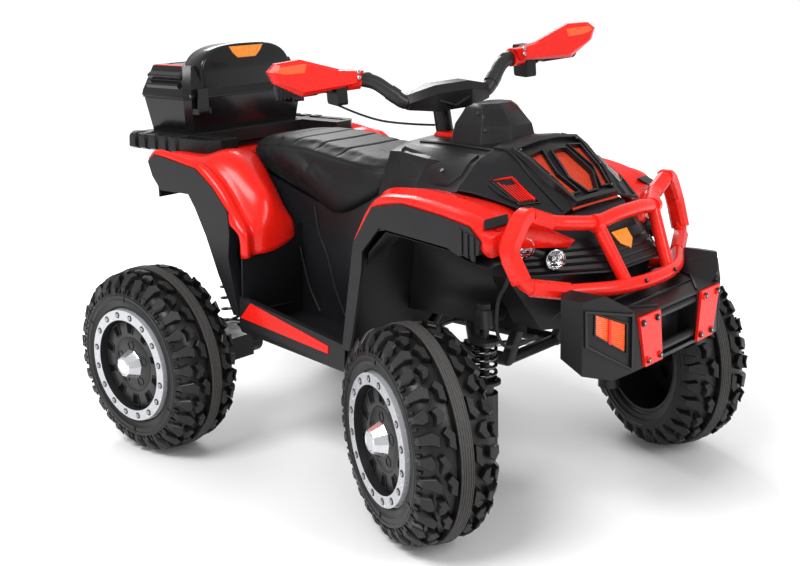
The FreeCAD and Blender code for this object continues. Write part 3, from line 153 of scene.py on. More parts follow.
class Shader:
    """Node tree of one material around a Principled shader."""

    def __init__(self, name: str) -> None:
        """Start an empty material with a Principled shader."""
        self.material = bpy.data.materials.new(name)
        self.material.use_nodes = True
        self.tree = self.material.node_tree
        self.body = self.tree.nodes["Principled BSDF"]
        self.place = self.node("ShaderNodeTexCoord", output="Object")

    def node(
        self, kind: str, settings: dict | None = None, sockets: dict | None = None, output: int | str = 0,
    ) -> Sock:
        """Add a node.

        Args:
            kind: Blender's type name.
            settings: properties of the node, set before its sockets.
            sockets: value or link of each named or numbered input.
            output: the output that is returned.

        Returns:
            The chosen output.
        """
        made = self.tree.nodes.new(kind)
        for key, value in (settings or {}).items():
            setattr(made, key, value)
        for key, value in (sockets or {}).items():
            if isinstance(value, Sock):
                self.tree.links.new(value.out, made.inputs[key])
            else:
                made.inputs[key].default_value = value
        return Sock(self, made.outputs[output])

    def noise(self, scale: float, detail: float = 3.0, stretch: Vec = (1, 1, 1)) -> Sock:
        """Noise on the object's own coordinates.

        Args:
            scale: waves in a metre.
            detail: octaves.
            stretch: factor along each axis.

        Returns:
            A value near 0.5.
        """
        where = self.place
        if stretch != (1, 1, 1):
            where = self.node("ShaderNodeMapping", {}, {"Vector": where, "Scale": stretch})
        return self.node("ShaderNodeTexNoise", {}, {"Vector": where, "Scale": scale, "Detail": detail})

    def cells(self, scale: float, spread: float = 1.0) -> Sock:
        """Distance to the nearest cell point.

        Args:
            scale: cells in a metre.
            spread: 0 for an even lattice, 1 for scattered cells.

        Returns:
            The distance in cells.
        """
        sockets = {"Vector": self.place, "Scale": scale, "Randomness": spread}
        return self.node("ShaderNodeTexVoronoi", {}, sockets, "Distance")

    def axis(self, name: str) -> Sock:
        """One object coordinate in metres, by the letter of its axis."""
        return self.node("ShaderNodeSeparateXYZ", {}, {0: self.place}, name)

    def mix(self, factor: Sock, first: "Colour | Sock", second: "Colour | Sock") -> Sock:
        """Blend two colours.

        Args:
            factor: 0 for the first, 1 for the second.
            first: colour or link.
            second: colour or link.

        Returns:
            The blended colour.
        """
        ends = [c if isinstance(c, Sock) else (*c, 1.0) for c in (first, second)]
        return self.node("ShaderNodeMix", {"data_type": "RGBA"}, {0: factor, 6: ends[0], 7: ends[1]}, 2)

    def link(self, name: str, value: Sock) -> None:
        """Feed an input of the Principled shader."""
        self.tree.links.new(value.out, self.body.inputs[name])

    def bump(self, height: Sock, strength: float, depth: float) -> None:
        """Raise the surface.

        Args:
            height: 0 to 1 over the surface.
            strength: share of the relief.
            depth: depth of the relief in metres.
        """
        sockets = {"Height": height, "Strength": strength, "Distance": depth}
        self.link("Normal", self.node("ShaderNodeBump", {}, sockets))


class Grain(Enum):
    """Relief that a finish carries."""

    PEBBLE = "moulded pebble of matte plastic"
    GLOSS = "faint flow of glossy plastic"
    HIDE = "embossed hide of seat vinyl"
    DOTS = "dotted tops of tread blocks"
    RUBBER = "skin of moulded rubber"
    BRUSHED = "drawn or turned metal"
    NET = "woven mesh"
    RIBBED = "ribs behind a lens"


GRAIN_DEPTH = {
    Grain.PEBBLE: 0.00025, Grain.GLOSS: 0.0004, Grain.HIDE: 0.0004, Grain.DOTS: 0.0006,
    Grain.RUBBER: 0.0003, Grain.BRUSHED: 0.0001, Grain.NET: 0.0012, Grain.RIBBED: 0.0008,
}
COAT_ROUGH = 0.08


@dataclass(frozen=True)
class Finish:
    """One surface finish and the record's slot that it stands for."""

    name: str
    slot: str
    colour: Colour
    rough: float
    grain: Grain
    relief: float = 0.3
    metal: float = 0.0
    coat: float = 0.0
    drift: float = 0.12
    glow: float = 0.0
    shine: float = 0.36

    def shade(self, factor: float) -> Colour:
        """The colour made darker or lighter by a factor."""
        return tuple(min(1.0, c * factor) for c in self.colour)

    def height(self, shader: Shader) -> Sock:
        """Relief of the grain.

        Args:
            shader: the material in the making.

        Returns:
            The height, which GRAIN_DEPTH scales to metres.
        """
        if self.grain is Grain.PEBBLE:
            return shader.cells(900.0) * 0.7 + shader.noise(1800.0, 2.0) * 0.5
        if self.grain is Grain.HIDE:
            return shader.cells(420.0).step(0.0, 0.7) * 0.8 + shader.noise(900.0, 3.0) * 0.4
        if self.grain is Grain.DOTS:
            return 1.0 - shader.cells(300.0, 0.0).step(0.15, 0.5)
        if self.grain is Grain.BRUSHED:
            return shader.noise(500.0, 3.0, (1.0, 0.06, 1.0))
        if self.grain is Grain.NET:
            across = (shader.axis("Y") * 1300.0).sine().absolute()
            along = (shader.axis("X") * 900.0 - shader.axis("Z") * 900.0).sine().absolute()
            return across * along
        if self.grain is Grain.RIBBED:
            return (shader.axis("Z") * 900.0).sine().absolute()
        if self.grain is Grain.RUBBER:
            return shader.noise(700.0, 4.0)
        return shader.noise(45.0, 2.0)

    def material(self) -> bpy.types.Material:
        """The finish as a material, made once."""
        found = bpy.data.materials.get(self.name)
        if found:
            return found
        shader = Shader(self.name)
        broad, fine = shader.noise(7.0, 2.0), shader.noise(130.0, 4.0)
        tone = (broad * 0.55 + fine * 0.45).step(0.3, 0.7)
        colour = shader.mix(tone, self.shade(1 - self.drift), self.shade(1 + self.drift))
        height = self.height(shader)
        if self.grain is Grain.NET:
            # The woven mesh darkens to a near-black shade of its colour in its cells: painted shade seen
            # through the openings.
            colour = shader.mix(height.step(0.12, 0.45), colour, self.shade(0.12))
        elif self.grain in (Grain.DOTS, Grain.RIBBED):
            # Dots and ribs take a darker shade of their colour where they sink: painted shade in their
            # hollows.
            colour = shader.mix(height.step(0.0, 1.0), self.shade(0.72), colour)
        scuff = shader.noise(26.0, 5.0, (1.0, 2.5, 1.0)).step(0.6, 0.75)
        shader.link("Base Color", colour)
        shader.link("Roughness", self.rough + (fine - 0.5) * 0.12 + scuff * 0.08)
        shader.bump(height, self.relief, GRAIN_DEPTH[self.grain])
        shader.body.inputs["Metallic"].default_value = self.metal
        shader.body.inputs["Coat Weight"].default_value = self.coat
        shader.body.inputs["Coat Roughness"].default_value = COAT_ROUGH
        shader.body.inputs["Specular IOR Level"].default_value = self.shine
        # Emission on parts that are no lamps is painted light: the scoop mesh and the marker lenses.
        if self.glow:
            shader.link("Emission Color", colour)
            shader.body.inputs["Emission Strength"].default_value = self.glow
        return shader.material


RED = Finish(
    "red_gloss_plastic", "red_panel", (0.68, 0.010, 0.005), 0.26, Grain.GLOSS, 0.12,
    coat=0.12, drift=0.06, shine=0.24,
)
RED_BAR = Finish(
    "red_bar_paint", "red_panel", (0.70, 0.012, 0.006), 0.28, Grain.GLOSS, 0.10,
    coat=0.1, drift=0.05, shine=0.26,
)
BLACK = Finish(
    "black_grained_plastic", "black_panel", (0.0075, 0.0075, 0.0085), 0.36, Grain.PEBBLE, 0.22,
    shine=0.24,
)
GREY = Finish(
    "dark_grey_plastic", "black_panel", (0.010, 0.010, 0.0115), 0.38, Grain.PEBBLE, 0.25,
    shine=0.28,
)
SATIN = Finish(
    "black_satin_plastic", "trunk_gloss", (0.006, 0.006, 0.007), 0.2, Grain.GLOSS, 0.16,
    coat=0.1, shine=0.28,
)
RUBBER = Finish("tyre_rubber", "tyre", (0.007, 0.007, 0.0075), 0.36, Grain.RUBBER, 0.3, drift=0.2, shine=0.3)
TREAD = Finish(
    "tread_block_tops", "tyre", (0.022, 0.022, 0.023), 0.52, Grain.DOTS, 0.7,
    drift=0.2, shine=0.26,
)
RIB = Finish("worn_centre_rib", "tyre", (0.046, 0.044, 0.042), 0.68, Grain.RUBBER, 0.5, drift=0.25)
SILVER = Finish(
    "silver_ring_paint", "rim", (0.50, 0.51, 0.53), 0.26, Grain.BRUSHED, 0.12,
    metal=0.3, drift=0.05,
)
DISH = Finish("black_rim_plastic", "rim", (0.017, 0.017, 0.018), 0.38, Grain.PEBBLE, 0.15)
# Near-black, barely reflecting sheet in the dish's windows: painted shade of the openings.
WINDOW_SHADE = Finish("painted_window_shade", "rim", (0.002, 0.002, 0.002), 0.7, Grain.PEBBLE, 0.1, shine=0.05)
CHROME = Finish(
    "bright_chrome", "bright_steel", (0.66, 0.67, 0.69), 0.16, Grain.GLOSS, 0.05,
    metal=0.75, drift=0.03,
)
STEEL = Finish(
    "zinc_steel", "bright_steel", (0.46, 0.46, 0.47), 0.32, Grain.BRUSHED, 0.2,
    metal=1.0, drift=0.1,
)
COIL = Finish(
    "dark_spring_steel", "bright_steel", (0.10, 0.10, 0.105), 0.2, Grain.BRUSHED, 0.15,
    metal=1.0, drift=0.1,
)
POWDER = Finish("black_powder_coat", "painted_steel", (0.012, 0.012, 0.013), 0.36, Grain.PEBBLE, 0.18)
GRIP = Finish("grip_rubber", "rubber", (0.014, 0.014, 0.015), 0.68, Grain.RUBBER, 0.5)
VINYL = Finish("seat_vinyl", "seat_cover", (0.008, 0.008, 0.009), 0.5, Grain.HIDE, 0.35, shine=0.26)
# The marker lens glows a little though it is not lit: painted light standing in for light passing through it.
AMBER = Finish(
    "ribbed_amber_lens", "amber_lens", (0.80, 0.085, 0.004), 0.16, Grain.RIBBED, 0.8,
    coat=0.15, glow=0.08,
)
PLATE = Finish("orange_plate", "amber_lens", (0.85, 0.26, 0.015), 0.3, Grain.GLOSS, 0.1, coat=0.3)
WINDOW = Finish("guard_window", "amber_lens", (0.95, 0.085, 0.018), 0.22, Grain.GLOSS, 0.1, coat=0.2)
LAMP = Finish("lamp_reflector", "lamp", (0.85, 0.86, 0.88), 0.07, Grain.DOTS, 0.5, metal=1.0, drift=0.05)
# The scoop mesh glows though it is no lamp: painted light that lifts it out of the shade under the bonnet.
NET = Finish("red_scoop_mesh", "red_panel", (0.90, 0.060, 0.010), 0.5, Grain.NET, 0.9, glow=0.25)
CASE = Finish("battery_case_plastic", "battery_case", (0.05, 0.05, 0.055), 0.5, Grain.PEBBLE, 0.2)


class Shape:
    """Vertices in millimetres, faces, and the number of the finish on each face."""

    def __init__(self, verts: Iterable, faces: Iterable, tags: Sequence[int] | None = None) -> None:
        """Keep the geometry; faces without tags take finish 0."""
        self.verts = np.asarray(verts, float).reshape(-1, 3)
        self.faces = [tuple(int(i) for i in f) for f in faces]
        self.tags = list(tags) if tags is not None else [0] * len(self.faces)

    def __add__(self, other: "Shape") -> "Shape":
        """Both shapes as one."""
        shift = len(self.verts)
        faces = self.faces + [tuple(i + shift for i in f) for f in other.faces]
        return Shape(np.vstack([self.verts, other.verts]), faces, self.tags + other.tags)

    def tagged(self, tag: int) -> "Shape":
        """The shape with one finish number on all faces."""
        return Shape(self.verts, self.faces, [tag] * len(self.faces))

    def placed(self, matrix: Matrix) -> "Shape":
        """The shape moved by a matrix in millimetres."""
        m = np.array(matrix)
        return Shape(self.verts @ m[:3, :3].T + m[:3, 3], self.faces, self.tags)

    def mirrored(self) -> "Shape":
        """The shape on the other side of the XZ plane."""
        return Shape(self.verts * (1, -1, 1), [f[::-1] for f in self.faces], self.tags)

    def both(self) -> "Shape":
        """The shape with its mirror image."""
        return self + self.mirrored()

    @staticmethod
    def loft(
        rows: Iterable, around: bool = False, loop: bool = False, caps: bool = False,
        tags: Sequence[int] | None = None,
    ) -> "Shape":
        """Skin over rows of points.

        Args:
            rows: rows of equally many points.
            around: close each row.
            loop: join the last row to the first.
            caps: close both ends.
            tags: finish number of each strip along the rows.

        Returns:
            The skin.
        """
        grid = np.asarray(rows, float)
        n, m = grid.shape[:2]
        faces, marks = [], []
        for i in range(n if loop else n - 1):
            for j in range(m if around else m - 1):
                k, q = (i + 1) % n, (j + 1) % m
                faces.append((i * m + j, i * m + q, k * m + q, k * m + j))
                marks.append(tags[j] if tags else 0)
        if caps:
            faces += [tuple(range(m))[::-1], tuple((n - 1) * m + j for j in range(m))]
            marks += [marks[0], marks[0]]
        return Shape(grid.reshape(-1, 3), faces, marks)

    @staticmethod
    def revolve(profile: Sequence[Pair], segments: int = 72, tags: Sequence[int] | None = None) -> "Shape":
        """Ring of a closed profile about the Y axis.

        Args:
            profile: distance along the axis and radius of each point.
            segments: copies round the axis.
            tags: finish number of each profile edge.

        Returns:
            The ring.
        """
        turns = [2 * math.pi * k / segments for k in range(segments)]
        rows = [[(r * math.cos(a), y, r * math.sin(a)) for y, r in profile] for a in turns]
        return Shape.loft(rows, around=True, loop=True, tags=tags)

    @staticmethod
    def prism(
        outline: Sequence[Pair], at: Vec, across: Vec, up: Vec, depth: float, taper: float = 0.0,
    ) -> "Shape":
        """Plate of an outline, standing on its plane.

        Args:
            outline: points along the two directions.
            at: origin of the outline.
            across: first direction.
            up: second direction.
            depth: height above the plane.
            taper: inset of the top outline.

        Returns:
            The plate.
        """
        a, b = Vector(across).normalized(), Vector(up).normalized()
        n, base = a.cross(b), Vector(at)
        middle = np.mean(np.asarray(outline, float), axis=0)
        rows = []
        for lift, inset in ((0.0, 0.0), (depth * SHOULDER, 0.0), (depth, taper)):
            row = []
            for u, v in outline:
                away = np.array((u, v)) - middle
                size = np.linalg.norm(away) or 1.0
                s, t = middle + away * (1 - inset / size)
                row.append(base + a * s + b * t + n * lift)
            rows.append(row)
        return Shape.loft([[tuple(p) for p in row] for row in rows], around=True, caps=True)

    @staticmethod
    def sweep(
        path: Sequence[Vec], section: Sequence[Pair], up: Vec = Z_AXIS, loop: bool = False,
    ) -> "Shape":
        """Bar of a section along a path.

        Args:
            path: points of the centre line.
            section: points across and along the up direction.
            up: direction that the section keeps.
            loop: join the end to the start.

        Returns:
            The bar.
        """
        points, rows = [Vector(p) for p in path], []
        for i, p in enumerate(points):
            ahead = points[(i + 1) % len(points)] if loop or i + 1 < len(points) else p
            behind = points[i - 1] if loop or i else p
            run = (ahead - p).normalized() + (p - behind).normalized()
            side = run.cross(Vector(up)).normalized()
            top = side.cross(run).normalized()
            rows.append([tuple(p + side * s + top * t) for s, t in section])
        return Shape.loft(rows, around=True, loop=loop, caps=not loop)

    @staticmethod
    def circle(radius: float, sides: int = 16) -> list[Pair]:
        """Section of a round bar."""
        turns = [k * math.tau / sides for k in range(sides)]
        return [(radius * math.cos(a), radius * math.sin(a)) for a in turns]

    @staticmethod
    def empty() -> "Shape":
        """No geometry, to which shapes are added."""
        return Shape(np.zeros((0, 3)), [])


def smooth_line(points: Iterable, steps: int) -> np.ndarray:
    """Smooth curve through points, evenly cut between them.

    Args:
        points: points or rows of points.
        steps: cuts from one point to the next.

    Returns:
        The points of the curve.
    """
    p = np.asarray(points, float)
    p = np.concatenate([2 * p[:1] - p[1:2], p, 2 * p[-1:] - p[-2:-1]])
    gaps = np.sqrt(np.linalg.norm(np.diff(p, axis=0).reshape(len(p) - 1, -1), axis=1)) + 1e-6
    knot = np.concatenate([[0.0], np.cumsum(gaps)])
    out = []
    for i in range(1, len(p) - 2):
        t0, t1, t2, t3 = knot[i - 1:i + 3]
        for t in np.linspace(t1, t2, steps, endpoint=False):
            a1 = (t1 - t) / (t1 - t0) * p[i - 1] + (t - t0) / (t1 - t0) * p[i]
            a2 = (t2 - t) / (t2 - t1) * p[i] + (t - t1) / (t2 - t1) * p[i + 1]
            a3 = (t3 - t) / (t3 - t2) * p[i + 1] + (t - t2) / (t3 - t2) * p[i + 2]
            b1 = (t2 - t) / (t2 - t0) * a1 + (t - t0) / (t2 - t0) * a2
            b2 = (t3 - t) / (t3 - t1) * a2 + (t - t1) / (t3 - t1) * a3
            out.append((t2 - t) / (t2 - t1) * b1 + (t - t1) / (t2 - t1) * b2)
    return np.array(out + [p[-2]])


def mesh_of(
    name: str, shape: Shape, finishes: Sequence[Finish], angle: float, closed: bool = True,
) -> bpy.types.Mesh:
    """Mesh in metres with merged points, outward faces and sharp edges by angle.

    Args:
        name: name of the mesh.
        shape: the geometry.
        finishes: finish of each tag.
        angle: edges steeper than this many degrees stay sharp.
        closed: recalculate the face directions.

    Returns:
        The mesh.
    """
    mesh = bpy.data.meshes.new(name)
    mesh.from_pydata((shape.verts * MM).tolist(), [], shape.faces)
    for finish in finishes:
        mesh.materials.append(finish.material())
    mesh.polygons.foreach_set("material_index", shape.tags)
    bm = bmesh.new()
    bm.from_mesh(mesh)
    bmesh.ops.remove_doubles(bm, verts=bm.verts, dist=WELD)
    if closed:
        bmesh.ops.recalc_face_normals(bm, faces=bm.faces)
    bm.to_mesh(mesh)
    bm.free()
    mesh.shade_smooth()
    mesh.set_sharp_from_angle(angle=math.radians(angle))
    return mesh


def add_piece(
    name: str, mesh: bpy.types.Mesh, body: str, nodes: Sequence[str] = (),
) -> bpy.types.Object:
    """Put a mesh in the scene as a piece of a body.

    Args:
        name: name of the piece.
        mesh: its mesh, in place.
        body: CAD body that it rides.
        nodes: CAD nodes that it stands for.

    Returns:
        The piece.
    """
    made = bpy.data.objects.new(name, mesh)
    bpy.context.scene.collection.objects.link(made)
    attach(made, body)
    if nodes:
        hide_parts(*nodes)
    LOG.info("piece %s: %d faces on %s", name, len(mesh.polygons), body)
    return made


def round_edges(made: bpy.types.Object, width: float, angle: float, segments: int = 2) -> None:
    """Round a piece's edges.

    Args:
        made: the piece.
        width: width of the rounding in millimetres.
        angle: edges steeper than this many degrees are rounded.
        segments: faces across the rounding.
    """
    edge = made.modifiers.new("edges", "BEVEL")
    edge.width, edge.segments = width * MM, segments
    edge.limit_method, edge.angle_limit = "ANGLE", math.radians(angle)
    edge.harden_normals = True


def model(
    name: str, shape: Shape, finishes: Sequence[Finish], body: str, nodes: Sequence[str] = (),
    bevel: float = 0.0, angle: float = 35.0,
) -> bpy.types.Object:
    """Make a piece of a shape.

    Args:
        name: name of the piece.
        shape: its geometry.
        finishes: finish of each tag.
        body: CAD body that it rides.
        nodes: CAD nodes that it stands for.
        bevel: width of its rounded edges in millimetres.
        angle: edges steeper than this many degrees are sharp or rounded.

    Returns:
        The piece.
    """
    made = add_piece(name, mesh_of(name, shape, finishes, angle), body, nodes)
    if bevel:
        round_edges(made, bevel, angle)
    return made


def node_shape(node: str) -> Shape:
    """A CAD node's own faces in millimetres, merged, with flat regions joined."""
    bm = bmesh.new()
    bm.from_mesh(frame["nodes"][node].data)
    bmesh.ops.remove_doubles(bm, verts=bm.verts, dist=CAD_WELD)
    bmesh.ops.dissolve_limit(bm, angle_limit=math.radians(FLAT_ANGLE), verts=bm.verts, edges=bm.edges)
    bm.verts.index_update()
    verts = [tuple(v.co / MM) for v in bm.verts]
    faces = [[v.index for v in f.verts] for f in bm.faces]
    bm.free()
    return Shape(verts, faces)


def body_of(node: str) -> str:
    """Body that a CAD node rides."""
    return frame["nodes"][node]["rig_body"]


def polish(node: str, finish: Finish, bevel: float = 1.0, angle: float = 32.0) -> bpy.types.Object:
    """Stand a copy of a CAD node with rounded edges in for it.

    Args:
        node: the CAD node.
        finish: its finish.
        bevel: width of the rounded edges in millimetres.
        angle: edges steeper than this many degrees are rounded.

    Returns:
        The piece.
    """
    mesh = mesh_of(node + "_piece", node_shape(node), [finish], angle, closed=False)
    made = add_piece(node + "_piece", mesh, body_of(node), [node])
    if bevel:
        round_edges(made, bevel, angle)
    return made


class Copier:
    """Geometry Nodes trees for what repeats, with a bolt head's shares of its radius and height."""

    crown_width, crown_height = 0.72, 0.4
    key_width, key_height = 0.42, 0.06
    shank_lift, crown_lift, key_lift = 0.1, 0.6, 1.01

    def __init__(self) -> None:
        """Build the trees once."""
        self.row = self._row_tree()
        self.bolts = self._bolt_tree()

    @staticmethod
    def _start(name: str, inputs: dict[str, str]) -> tuple[bpy.types.NodeTree, Callable]:
        """Begin a tree.

        Args:
            name: name of the tree.
            inputs: socket type of each named input, besides the geometry and the two finishes.

        Returns:
            The tree and a function that adds a node from its type, settings and sockets.
        """
        tree = bpy.data.node_groups.new(name, "GeometryNodeTree")
        tree.interface.new_socket("Geometry", in_out="OUTPUT", socket_type="NodeSocketGeometry")
        finishes = dict.fromkeys(("Finish", "Top Finish"), "NodeSocketMaterial")
        for key, kind in {"Geometry": "NodeSocketGeometry", **inputs, **finishes}.items():
            tree.interface.new_socket(key, in_out="INPUT", socket_type=kind)

        def add(kind: str, settings: dict | None = None, sockets: dict | None = None) -> bpy.types.Node:
            """Add one node with its settings and its sockets' values or links."""
            made = tree.nodes.new(kind)
            for key, value in (settings or {}).items():
                setattr(made, key, value)
            for key, value in (sockets or {}).items():
                if isinstance(value, bpy.types.NodeSocket):
                    tree.links.new(value, made.inputs[key])
                else:
                    made.inputs[key].default_value = value
            return made

        return tree, add

    @staticmethod
    def _end(add: Callable, group: bpy.types.Node, copies: bpy.types.NodeSocket) -> None:
        """Realize the copies and set both finishes, the second on the faces marked top.

        Args:
            add: function that adds a node.
            group: the tree's input node.
            copies: the instances.
        """
        real = add("GeometryNodeRealizeInstances", {}, {0: copies})
        sockets = {"Geometry": real.outputs[0], "Material": group.outputs["Finish"]}
        first = add("GeometryNodeSetMaterial", {}, sockets)
        top = add("GeometryNodeInputNamedAttribute", {"data_type": "BOOLEAN"}, {"Name": "top"})
        sockets = {
            "Geometry": first.outputs[0], "Selection": top.outputs["Attribute"],
            "Material": group.outputs["Top Finish"],
        }
        add("NodeGroupOutput", {}, {0: add("GeometryNodeSetMaterial", {}, sockets).outputs[0]})

    def _row_tree(self) -> bpy.types.NodeTree:
        """Copies in even steps along a line or round an axis."""
        inputs = {"Count": "NodeSocketInt", "Step": "NodeSocketVector", "Turn": "NodeSocketVector"}
        tree, add = self._start("even_row", inputs)
        group = add("NodeGroupInput")
        given = group.outputs
        sockets = {"Count": given["Count"], "Offset": given["Step"]}
        line = add("GeometryNodeMeshLine", {"mode": "OFFSET"}, sockets)
        index = add("GeometryNodeInputIndex")
        sockets = {0: given["Turn"], "Scale": index.outputs[0]}
        turn = add("ShaderNodeVectorMath", {"operation": "SCALE"}, sockets)
        spin = add("FunctionNodeEulerToRotation", {}, {0: turn.outputs[0]})
        sockets = {"Points": line.outputs[0], "Instance": given["Geometry"], "Rotation": spin.outputs[0]}
        self._end(add, group, add("GeometryNodeInstanceOnPoints", {}, sockets).outputs[0])
        return tree

    def _bolt_tree(self) -> bpy.types.NodeTree:
        """Bolt heads with a hex socket on each point, along its aim."""
        inputs = {"Radius": "NodeSocketFloat", "Height": "NodeSocketFloat"}
        tree, add = self._start("bolt_heads", inputs)
        group = add("NodeGroupInput")
        radius, height = group.outputs["Radius"], group.outputs["Height"]

        def scaled(value: bpy.types.NodeSocket, factor: float) -> bpy.types.NodeSocket:
            """A size times a factor."""
            return add("ShaderNodeMath", {"operation": "MULTIPLY"}, {0: value, 1: factor}).outputs[0]

        def lifted(mesh: bpy.types.NodeSocket, lift: bpy.types.NodeSocket) -> bpy.types.NodeSocket:
            """A mesh moved up."""
            up = add("ShaderNodeCombineXYZ", {}, {"Z": lift})
            sockets = {"Geometry": mesh, "Translation": up.outputs[0]}
            return add("GeometryNodeTransform", {}, sockets).outputs[0]

        round_bar = {"Vertices": HEAD_SIDES, "Radius": radius, "Depth": height}
        shank = add("GeometryNodeMeshCylinder", {}, round_bar)
        chamfer = {
            "Vertices": HEAD_SIDES, "Radius Top": scaled(radius, self.crown_width), "Radius Bottom": radius,
            "Depth": scaled(height, self.crown_height),
        }
        crown = add("GeometryNodeMeshCone", {}, chamfer)
        # The hex socket is a thin raised hexagon, not a hollow; a dark second finish on it is painted shade
        # of the socket.
        hexagon = {
            "Vertices": 6, "Radius": scaled(radius, self.key_width), "Depth": scaled(height, self.key_height),
        }
        key = add("GeometryNodeMeshCylinder", {}, hexagon)
        sockets = {"Geometry": key.outputs[0], "Name": "top", "Value": True}
        marked = add("GeometryNodeStoreNamedAttribute", {"data_type": "BOOLEAN", "domain": "FACE"}, sockets)
        head = add("GeometryNodeJoinGeometry")
        lifts = ((shank, self.shank_lift), (crown, self.crown_lift), (marked, self.key_lift))
        for mesh in [lifted(node.outputs[0], scaled(height, lift)) for node, lift in lifts]:
            tree.links.new(mesh, head.inputs[0])
        aim = add("GeometryNodeInputNamedAttribute", {"data_type": "FLOAT_VECTOR"}, {"Name": "aim"})
        spin = add("FunctionNodeAlignRotationToVector", {"axis": "Z"}, {"Vector": aim.outputs["Attribute"]})
        points = group.outputs["Geometry"]
        sockets = {"Points": points, "Instance": head.outputs[0], "Rotation": spin.outputs[0]}
        self._end(add, group, add("GeometryNodeInstanceOnPoints", {}, sockets).outputs[0])
        return tree

    @staticmethod
    def _bake(tree: bpy.types.NodeTree, mesh: bpy.types.Mesh, values: dict[str, object]) -> Shape:
        """Run a tree on a mesh.

        Args:
            tree: the tree.
            mesh: its input.
            values: value of each named input.

        Returns:
            The result in millimetres, with tag 1 on the faces marked top.
        """
        source = bpy.data.objects.new("repeat_source", mesh)
        bpy.context.scene.collection.objects.link(source)
        nodes = source.modifiers.new("repeat", "NODES")
        nodes.node_group = tree
        for item in tree.interface.items_tree:
            if item.in_out == "INPUT" and item.name in values:
                nodes[item.identifier] = values[item.name]
        found = source.evaluated_get(bpy.context.evaluated_depsgraph_get())
        plain = bpy.data.meshes.new_from_object(found)
        source.modifiers.remove(nodes)
        bpy.data.objects.remove(source)
        names = [m.name if m else "" for m in plain.materials]
        top = names.index(values["Top Finish"].name) if values["Top Finish"].name in names else -1
        verts = [tuple(v.co / MM) for v in plain.vertices]
        faces = [tuple(p.vertices) for p in plain.polygons]
        return Shape(verts, faces, [int(p.material_index == top) for p in plain.polygons])

    def copies(
        self, shape: Shape, count: int, step: Vec = (0, 0, 0), turn: Vec = (0, 0, 0),
        finishes: Sequence[Finish] = (BLACK, GREY),
    ) -> Shape:
        """Repeat a shape evenly.

        Args:
            shape: what is repeated; tag 1 takes the second finish.
            count: number of copies.
            step: move from one copy to the next in millimetres.
            turn: turn about the origin from one copy to the next in degrees.
            finishes: the two finishes.

        Returns:
            All copies.
        """
        mesh = mesh_of("repeat_source", shape, finishes, 30.0, closed=False)
        top = mesh.attributes.new("top", "BOOLEAN", "FACE")
        top.data.foreach_set("value", [p.material_index == 1 for p in mesh.polygons])
        values = {
            "Count": count, "Step": tuple(s * MM for s in step), "Turn": tuple(math.radians(t) for t in turn),
            "Finish": finishes[0].material(), "Top Finish": finishes[-1].material(),
        }
        return self._bake(self.row, mesh, values)

    def heads(
        self, points: Sequence[Vec], aims: Sequence[Vec], radius: float, height: float,
        finishes: Sequence[Finish],
    ) -> Shape:
        """Bolt heads on points.

        Args:
            points: foot of each head.
            aims: direction of each head.
            radius: radius of a head.
            height: height of a head.
            finishes: finish of the head and of its socket.

        Returns:
            All heads.
        """
        mesh = bpy.data.meshes.new("bolt_points")
        mesh.from_pydata([tuple(c * MM for c in p) for p in points], [], [])
        aim = mesh.attributes.new("aim", "FLOAT_VECTOR", "POINT")
        aim.data.foreach_set("vector", [c for a in aims for c in Vector(a).normalized()])
        values = {
            "Radius": radius * MM, "Height": height * MM,
            "Finish": finishes[0].material(), "Top Finish": finishes[1].material(),
        }
        return self._bake(self.bolts, mesh, values)


COPIER = Copier()
STEER = -23.4
RAKE = 10.0
STEER_PIVOT = (99.0, 0.0, 650.0)


def steered(x: float, y: float, z: float) -> Vec:
    """A point of the straight handlebar, turned to its place at rest."""
    rake, pivot = math.radians(RAKE), Vector(STEER_PIVOT)
    turn = Matrix.Rotation(math.radians(STEER), 3, Vector((-math.sin(rake), 0.0, math.cos(rake))))
    return tuple(turn @ (Vector((x, y, z)) - pivot) + pivot)


def turned(shape: Shape) -> Shape:
    """A shape of the straight handlebar, turned to its place at rest."""
    return Shape([steered(*v) for v in shape.verts], shape.faces, shape.tags)


